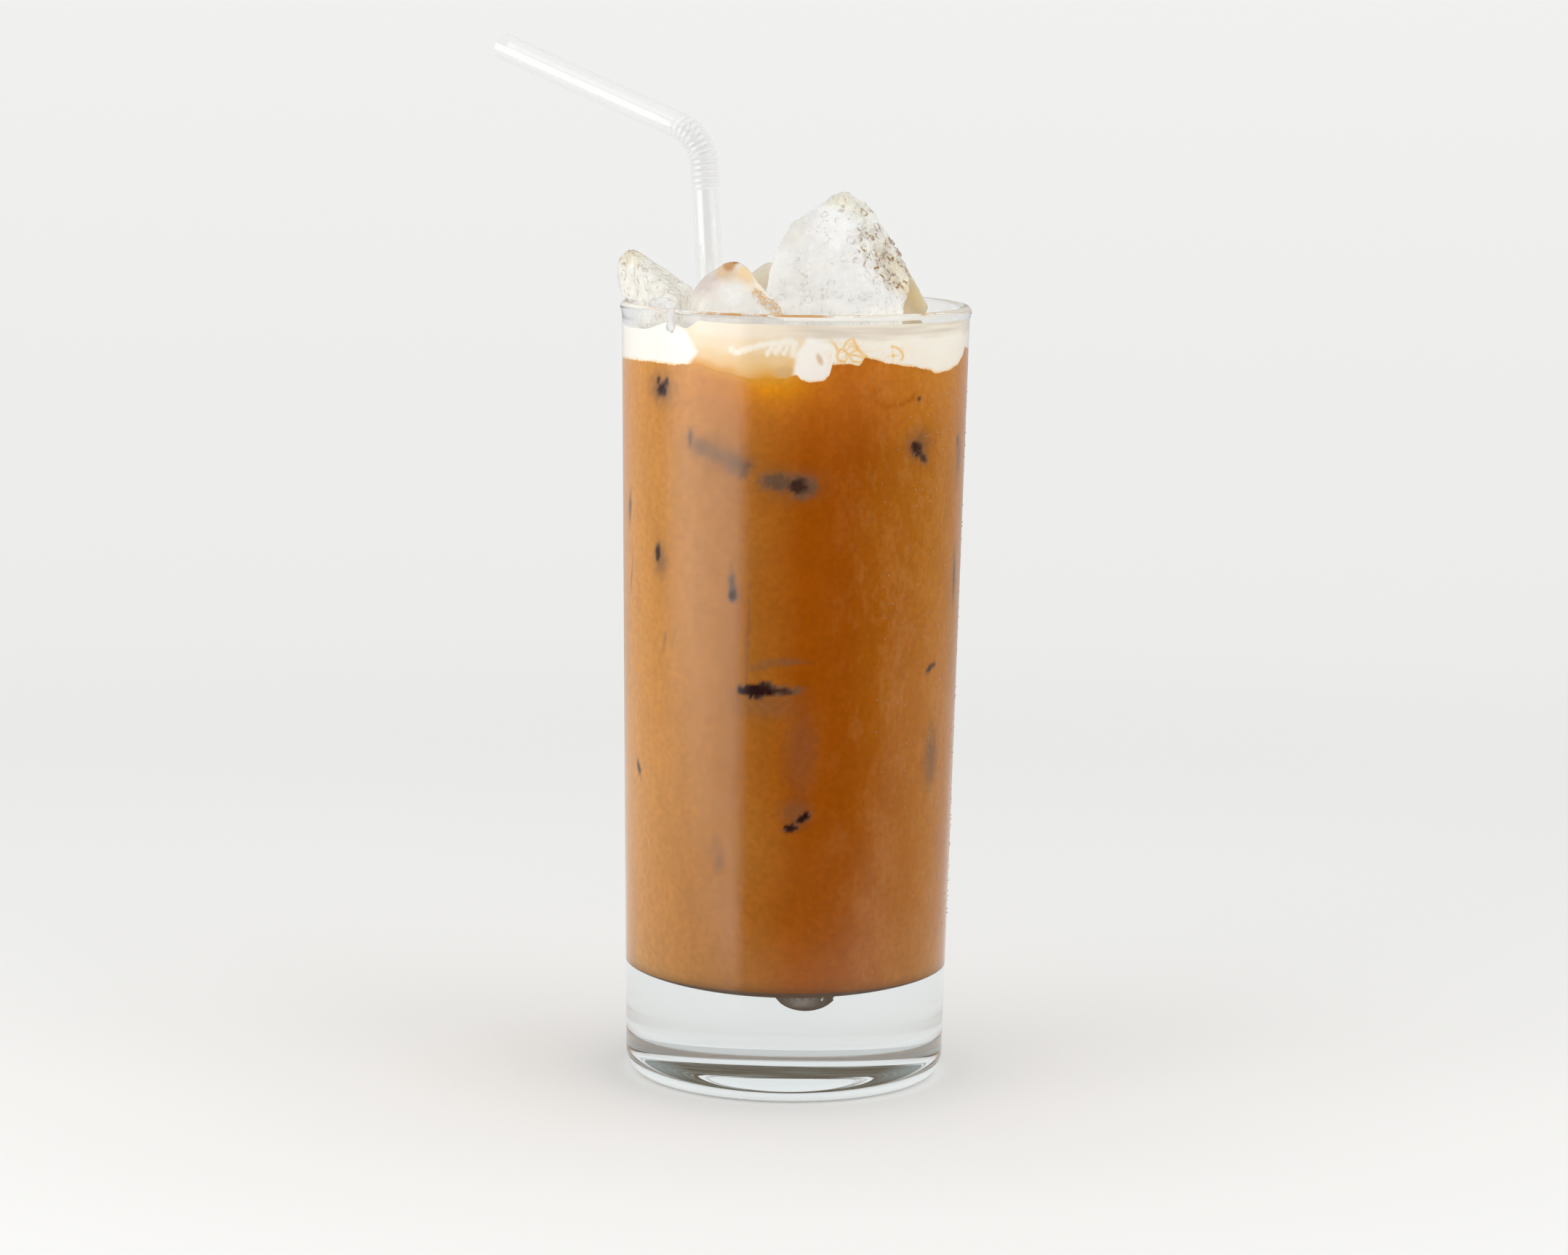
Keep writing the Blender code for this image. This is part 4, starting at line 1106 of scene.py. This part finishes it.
# small round beads strewn over the faces that are handed in
def scatterTree():
    labels = [("Spacing", "NodeSocketFloat"), ("Density", "NodeSocketFloat"), ("Smallest", "NodeSocketFloat"),
              ("Largest", "NodeSocketFloat"), ("Seed", "NodeSocketInt"), ("Material", "NodeSocketMaterial")]
    tree, given, result, keys = newTree("beadScatter", labels)
    g = given.outputs
    points = addNode(tree, "GeometryNodeDistributePointsOnFaces", {
        "Mesh": g["Geometry"], "Distance Min": g["Spacing"], "Density Max": g["Density"], "Seed": g["Seed"]},
        distribute_method="POISSON")
    bead = addNode(tree, "GeometryNodeMeshIcoSphere", {"Radius": 1.0, "Subdivisions": 2})
    size = addNode(tree, "FunctionNodeRandomValue", {"Seed": g["Seed"]}, data_type="FLOAT")
    tree.links.new(g["Smallest"], next(s for s in size.inputs if s.identifier == "Min_001"))
    tree.links.new(g["Largest"], next(s for s in size.inputs if s.identifier == "Max_001"))
    grown = next(s for s in size.outputs if s.identifier == "Value_001")
    strewn = addNode(tree, "GeometryNodeInstanceOnPoints", {
        "Points": points.outputs["Points"], "Instance": bead.outputs["Mesh"], "Scale": grown})
    real = addNode(tree, "GeometryNodeRealizeInstances", {"Geometry": strewn})
    coated = addNode(tree, "GeometryNodeSetMaterial", {"Geometry": real, "Material": g["Material"]})
    tree.links.new(coated.outputs[0], result.inputs[0])
    return tree, keys


# Foam caught along the ice, drops of melt on the rim and beads of condensation on the outside of the glass.
beads = {
    "foamLine": [(-7.6, 153.2), (-5.0, 151.2), (-3.0, 149.2)],      # as seen from the front, in mm
    "foamReach": 0.85,             # mm either side of that line
    "foam": {"Spacing": 0.42 * mm, "Density": 6e6, "Smallest": 0.14 * mm, "Largest": 0.32 * mm, "Seed": 4},
    "foamColour": "#F0CFA4",
    "waterIor": 1.33,
    "dew": {"Spacing": 0.9 * mm, "Density": 2.2e5, "Smallest": 0.07 * mm, "Largest": 0.19 * mm, "Seed": 9},
    "dewFrom": 30,                 # degrees round from the front
    "dewTo": 100,
    "drip": [((-23.2, -24.1, 148.7), 0.80, 1.8), ((-23.3, -24.0, 146.9), 0.95, 1.2),
             ((-23.4, -22.7, 150.5), 1.20, 1.1), ((-24.9, -20.7, 150.9), 1.60, 1.2),
             ((-26.4, -19.0, 150.8), 1.20, 0.9)],
}


# Coffee foam: tiny bubbles with thin brown walls, glossy and bright in the middle.
def foamMaterial():
    material, tree = newMaterial("foam, coffee and cream")
    body = addNode(tree, "ShaderNodeBsdfPrincipled", {
        "Base Color": linear(beads["foamColour"]), "Roughness": 0.12, "IOR": beads["waterIor"],
        "Transmission Weight": 0.30, "Subsurface Weight": 0.2, "Subsurface Scale": 0.4 * mm})
    addNode(tree, "ShaderNodeOutputMaterial", {"Surface": body})
    return material


# Melt water: clear, perfectly smooth.
def waterMaterial():
    material, tree = newMaterial("water, melted ice")
    body = addNode(tree, "ShaderNodeBsdfPrincipled", {
        "Base Color": linear("#FFFFFF"), "Roughness": 0.02, "IOR": beads["waterIor"],
        "Transmission Weight": 1.0})
    addNode(tree, "ShaderNodeOutputMaterial", {"Surface": lightPassing(tree, body, "#FFFFFF")})
    return material


def strew(name, verts, faces, look, slot, values):
    piece = pieceFrom(name, verts, faces, look, slot)
    tree, keys = scatterTree()
    runTree(piece, tree, keys, {**values, "Material": look})
    return dressed(piece, look, slot)


def buildBeads():
    b = beads
    hump = chunks["ice_hump"].data
    near = []
    for face in hump.polygons:
        spot = Vector(((face.center.x - axisX) / mm, face.center.z / mm))
        away = 99.0
        for p, q in zip(b["foamLine"], b["foamLine"][1:]):
            p, q = Vector(p), Vector(q)
            t = min(1.0, max(0.0, (spot - p).dot(q - p) / (q - p).length_squared))
            away = min(away, (spot - p.lerp(q, t)).length)
        if away < b["foamReach"] and face.normal.y < 0.2:
            near.append(face)
    verts = [hump.vertices[i].co.copy() for face in near for i in face.vertices]
    faces, used = [], 0
    for face in near:
        faces.append(tuple(range(used, used + len(face.vertices))))
        used += len(face.vertices)
    foam = strew("foamBubbles", verts, faces, foamMaterial(), "cream", b["foam"])
    water = waterMaterial()
    levels = [30 * mm + i * 5 * mm for i in range(22)]
    turns = range(b["dewFrom"], b["dewTo"] + 1, 5)
    verts = [onWall(outerRadius(z), a, z) for z in levels for a in turns]
    across = len(turns)
    faces = [(r * across + c, r * across + c + 1, (r + 1) * across + c + 1, (r + 1) * across + c)
             for r in range(len(levels) - 1) for c in range(across - 1)]
    dew = strew("dewBeads", verts, faces, water, "glass", b["dew"])
    bm = bmesh.new()
    for centre, wide, tall in b["drip"]:
        made = bmesh.ops.create_icosphere(bm, subdivisions=4, radius=1.0)["verts"]
        for v in made:
            bump = 1 + 0.22 * noise.noise(v.co * 1.4 + Vector(centre))
            v.co = Vector((v.co.x * wide * bump, v.co.y * wide * bump, v.co.z * tall * bump)) + Vector(centre)
            v.co = Vector((v.co.x * mm + axisX, v.co.y * mm, v.co.z * mm))
    drip = placedMesh("rimDrip", bm)
    remesh = drip.modifiers.new("melt together", "REMESH")
    remesh.mode, remesh.voxel_size = "VOXEL", 0.12 * mm
    bakeModifiers(drip)
    dressed(drip, iceLook, "ice")
    count = len(drip.data.vertices)
    paint(drip, "Col", [linear("#FFFFFF")] * count)
    paint(drip, "State", [(0.45, 0.05, 0, 1)] * count)
    return len(foam.data.polygons), len(dew.data.polygons), len(drip.data.polygons)


print("foam, dew and drips:", buildBeads())


# Straw: the same centre line and radii as its solid.
straw = {
    "radius": 2.52 * mm,
    "wall": 0.40 * mm,
    "peak": 2.76 * mm,
    "valley": 2.38 * mm,
    "corrugations": 12,
    "bellows": 14.4 * mm,
    "straightShare": 0.30,         # of the bellows, before they bend
    "knee": (-17.75, 4.0, 171.2),  # start of the bellows, in mm from the axis
    "foot": 18.4,                  # height of the lower end, in mm
    "lean": 3.5,                   # degrees to the left
    "leanBack": 0.8,
    "arm": 42.1 * mm,
    "armRise": 22.3,               # degrees above level
    "armBack": 25.0,               # degrees away from the camera
    "sides": 44,
    "milky": "#FDFDFD",
    "milkyShare": 0.14,
    "roughness": 0.18,
    "glossFacing": 0.06,           # share of mirror gloss seen square on
    "glossEdge": 0.32,
}


def strawTree():
    labels = [("Radius", "NodeSocketFloat"), ("Wall", "NodeSocketFloat"), ("Peak", "NodeSocketFloat"),
              ("Valley", "NodeSocketFloat"), ("Bellows start", "NodeSocketFloat"),
              ("Bellows length", "NodeSocketFloat"), ("Corrugations", "NodeSocketInt"),
              ("Sides", "NodeSocketInt"), ("Material", "NodeSocketMaterial")]
    tree, given, result, keys = newTree("strawTube", labels)
    g = given.outputs
    line = addNode(tree, "GeometryNodeMeshToCurve", {"Mesh": g["Geometry"]})
    along = addNode(tree, "GeometryNodeSplineParameter")
    start = addNode(tree, "ShaderNodeMath", {
        0: along.outputs["Length"], 1: g["Bellows start"]}, operation="SUBTRACT")
    share = addNode(tree, "ShaderNodeMath", {0: start, 1: g["Bellows length"]}, operation="DIVIDE")
    turns = addNode(tree, "ShaderNodeMath", {0: share, 1: g["Corrugations"]}, operation="MULTIPLY")
    phase = addNode(tree, "ShaderNodeMath", {0: turns, 1: math.pi}, operation="MULTIPLY")
    wave = addNode(tree, "ShaderNodeMath", {0: phase}, operation="SINE")
    hump = addNode(tree, "ShaderNodeMath", {0: wave}, operation="ABSOLUTE")
    rounded = addNode(tree, "ShaderNodeMath", {0: hump, 1: 0.7}, operation="POWER")
    folded = addNode(tree, "ShaderNodeMapRange", {
        "Value": rounded, "To Min": g["Valley"], "To Max": g["Peak"]})
    past = addNode(tree, "ShaderNodeMath", {0: share, 1: 0.0}, operation="GREATER_THAN")
    before = addNode(tree, "ShaderNodeMath", {0: share, 1: 1.0}, operation="LESS_THAN")
    inside = addNode(tree, "ShaderNodeMath", {0: past, 1: before}, operation="MULTIPLY")
    outer = addNode(tree, "ShaderNodeMapRange", {"Value": inside, "To Min": g["Radius"], "To Max": folded})
    inner = addNode(tree, "ShaderNodeMath", {0: outer, 1: g["Wall"]}, operation="SUBTRACT")
    ring = addNode(tree, "GeometryNodeCurvePrimitiveCircle", {"Resolution": g["Sides"], "Radius": 1.0})
    tube = addNode(tree, "GeometryNodeCurveToMesh", {"Curve": line, "Profile Curve": ring, "Scale": inner})
    skin = addNode(tree, "GeometryNodeExtrudeMesh", {
        "Mesh": tube, "Offset Scale": g["Wall"], "Individual": False})
    bore = addNode(tree, "GeometryNodeFlipFaces", {"Mesh": tube})
    both = tree.nodes.new("GeometryNodeJoinGeometry")
    tree.links.new(skin.outputs["Mesh"], both.inputs[0])
    tree.links.new(bore.outputs[0], both.inputs[0])
    welded = addNode(tree, "GeometryNodeMergeByDistance", {"Geometry": both, "Distance": 2e-6})
    real = addNode(tree, "GeometryNodeRealizeInstances", {"Geometry": welded})
    coated = addNode(tree, "GeometryNodeSetMaterial", {"Geometry": real, "Material": g["Material"]})
    tree.links.new(coated.outputs[0], result.inputs[0])
    return tree, keys


# Polypropylene, extruded thin and clear: a film that mirrors softly at every bend, faintly milky, no colour.
def strawMaterial():
    material, tree = newMaterial("straw, clear polypropylene")
    s = straw
    milk = addNode(tree, "ShaderNodeBsdfTranslucent", {"Color": linear(s["milky"])})
    air = addNode(tree, "ShaderNodeBsdfTransparent")
    film = addNode(tree, "ShaderNodeMixShader", {"Fac": s["milkyShare"], 1: air, 2: milk})
    gloss = addNode(tree, "ShaderNodeBsdfAnisotropic", {
        "Color": linear("#FFFFFF"), "Roughness": s["roughness"]})
    facing = addNode(tree, "ShaderNodeLayerWeight", {"Blend": 0.5})
    steep = addNode(tree, "ShaderNodeMath", {0: facing.outputs["Facing"], 1: 4.0}, operation="POWER")
    mirror = addNode(tree, "ShaderNodeMapRange", {
        "Value": steep, "To Min": s["glossFacing"], "To Max": s["glossEdge"]})
    both = addNode(tree, "ShaderNodeMixShader", {"Fac": mirror, 1: film, 2: gloss})
    addNode(tree, "ShaderNodeOutputMaterial", {"Surface": both})
    return material


# points along the centre line, close together only in the bellows, and the length where those start
def strawLine():
    s = straw
    lean, back, rise, turn = (math.radians(s[k]) for k in ("lean", "leanBack", "armRise", "armBack"))
    shaft = Vector((-math.sin(lean), math.sin(back), math.cos(lean))).normalized()
    arm = Vector((-math.cos(rise) * math.cos(turn), math.sin(turn), math.sin(rise) * math.cos(turn)))
    arm.normalize()
    knee = Vector(s["knee"]) * mm + Vector((axisX, 0, 0))
    foot = knee - shaft * ((knee.z - s["foot"] * mm) / shaft.z)
    length = (knee - foot).length
    steps = s["corrugations"] * 10
    points = [foot + shaft * length * t for t in (0, 0.25, 0.5, 0.75, 0.97)] + [knee.copy()]
    point = knee.copy()
    for i in range(steps):
        turned = max(0.0, ((i + 0.5) / steps - s["straightShare"]) / (1 - s["straightShare"]))
        way = shaft.slerp(arm, turned) if turned > 0 else shaft
        point = point + way.normalized() * s["bellows"] / steps
        points.append(point.copy())
    points += [point + arm * s["arm"] * t for t in (0.02, 0.25, 0.5, 0.75, 1.0)]
    return points, length


def buildStraw():
    s = straw
    points, start = strawLine()
    mesh = bpy.data.meshes.new("strawTube")
    mesh.from_pydata(points, [(i, i + 1) for i in range(len(points) - 1)], [])
    tube = placed("strawTube", mesh)
    tree, keys = strawTree()
    material = strawMaterial()
    runTree(tube, tree, keys, {
        "Radius": s["radius"], "Wall": s["wall"], "Peak": s["peak"], "Valley": s["valley"],
        "Bellows start": start, "Bellows length": s["bellows"], "Corrugations": s["corrugations"],
        "Sides": s["sides"], "Material": material})
    bm = bmesh.new()
    bm.from_mesh(tube.data)
    bmesh.ops.recalc_face_normals(bm, faces=bm.faces)
    bm.to_mesh(tube.data)
    bm.free()
    return dressed(tube, material, "straw", "straw", smoothAngle=50)


strawPiece = buildStraw()
print("straw made:", len(strawPiece.data.polygons))
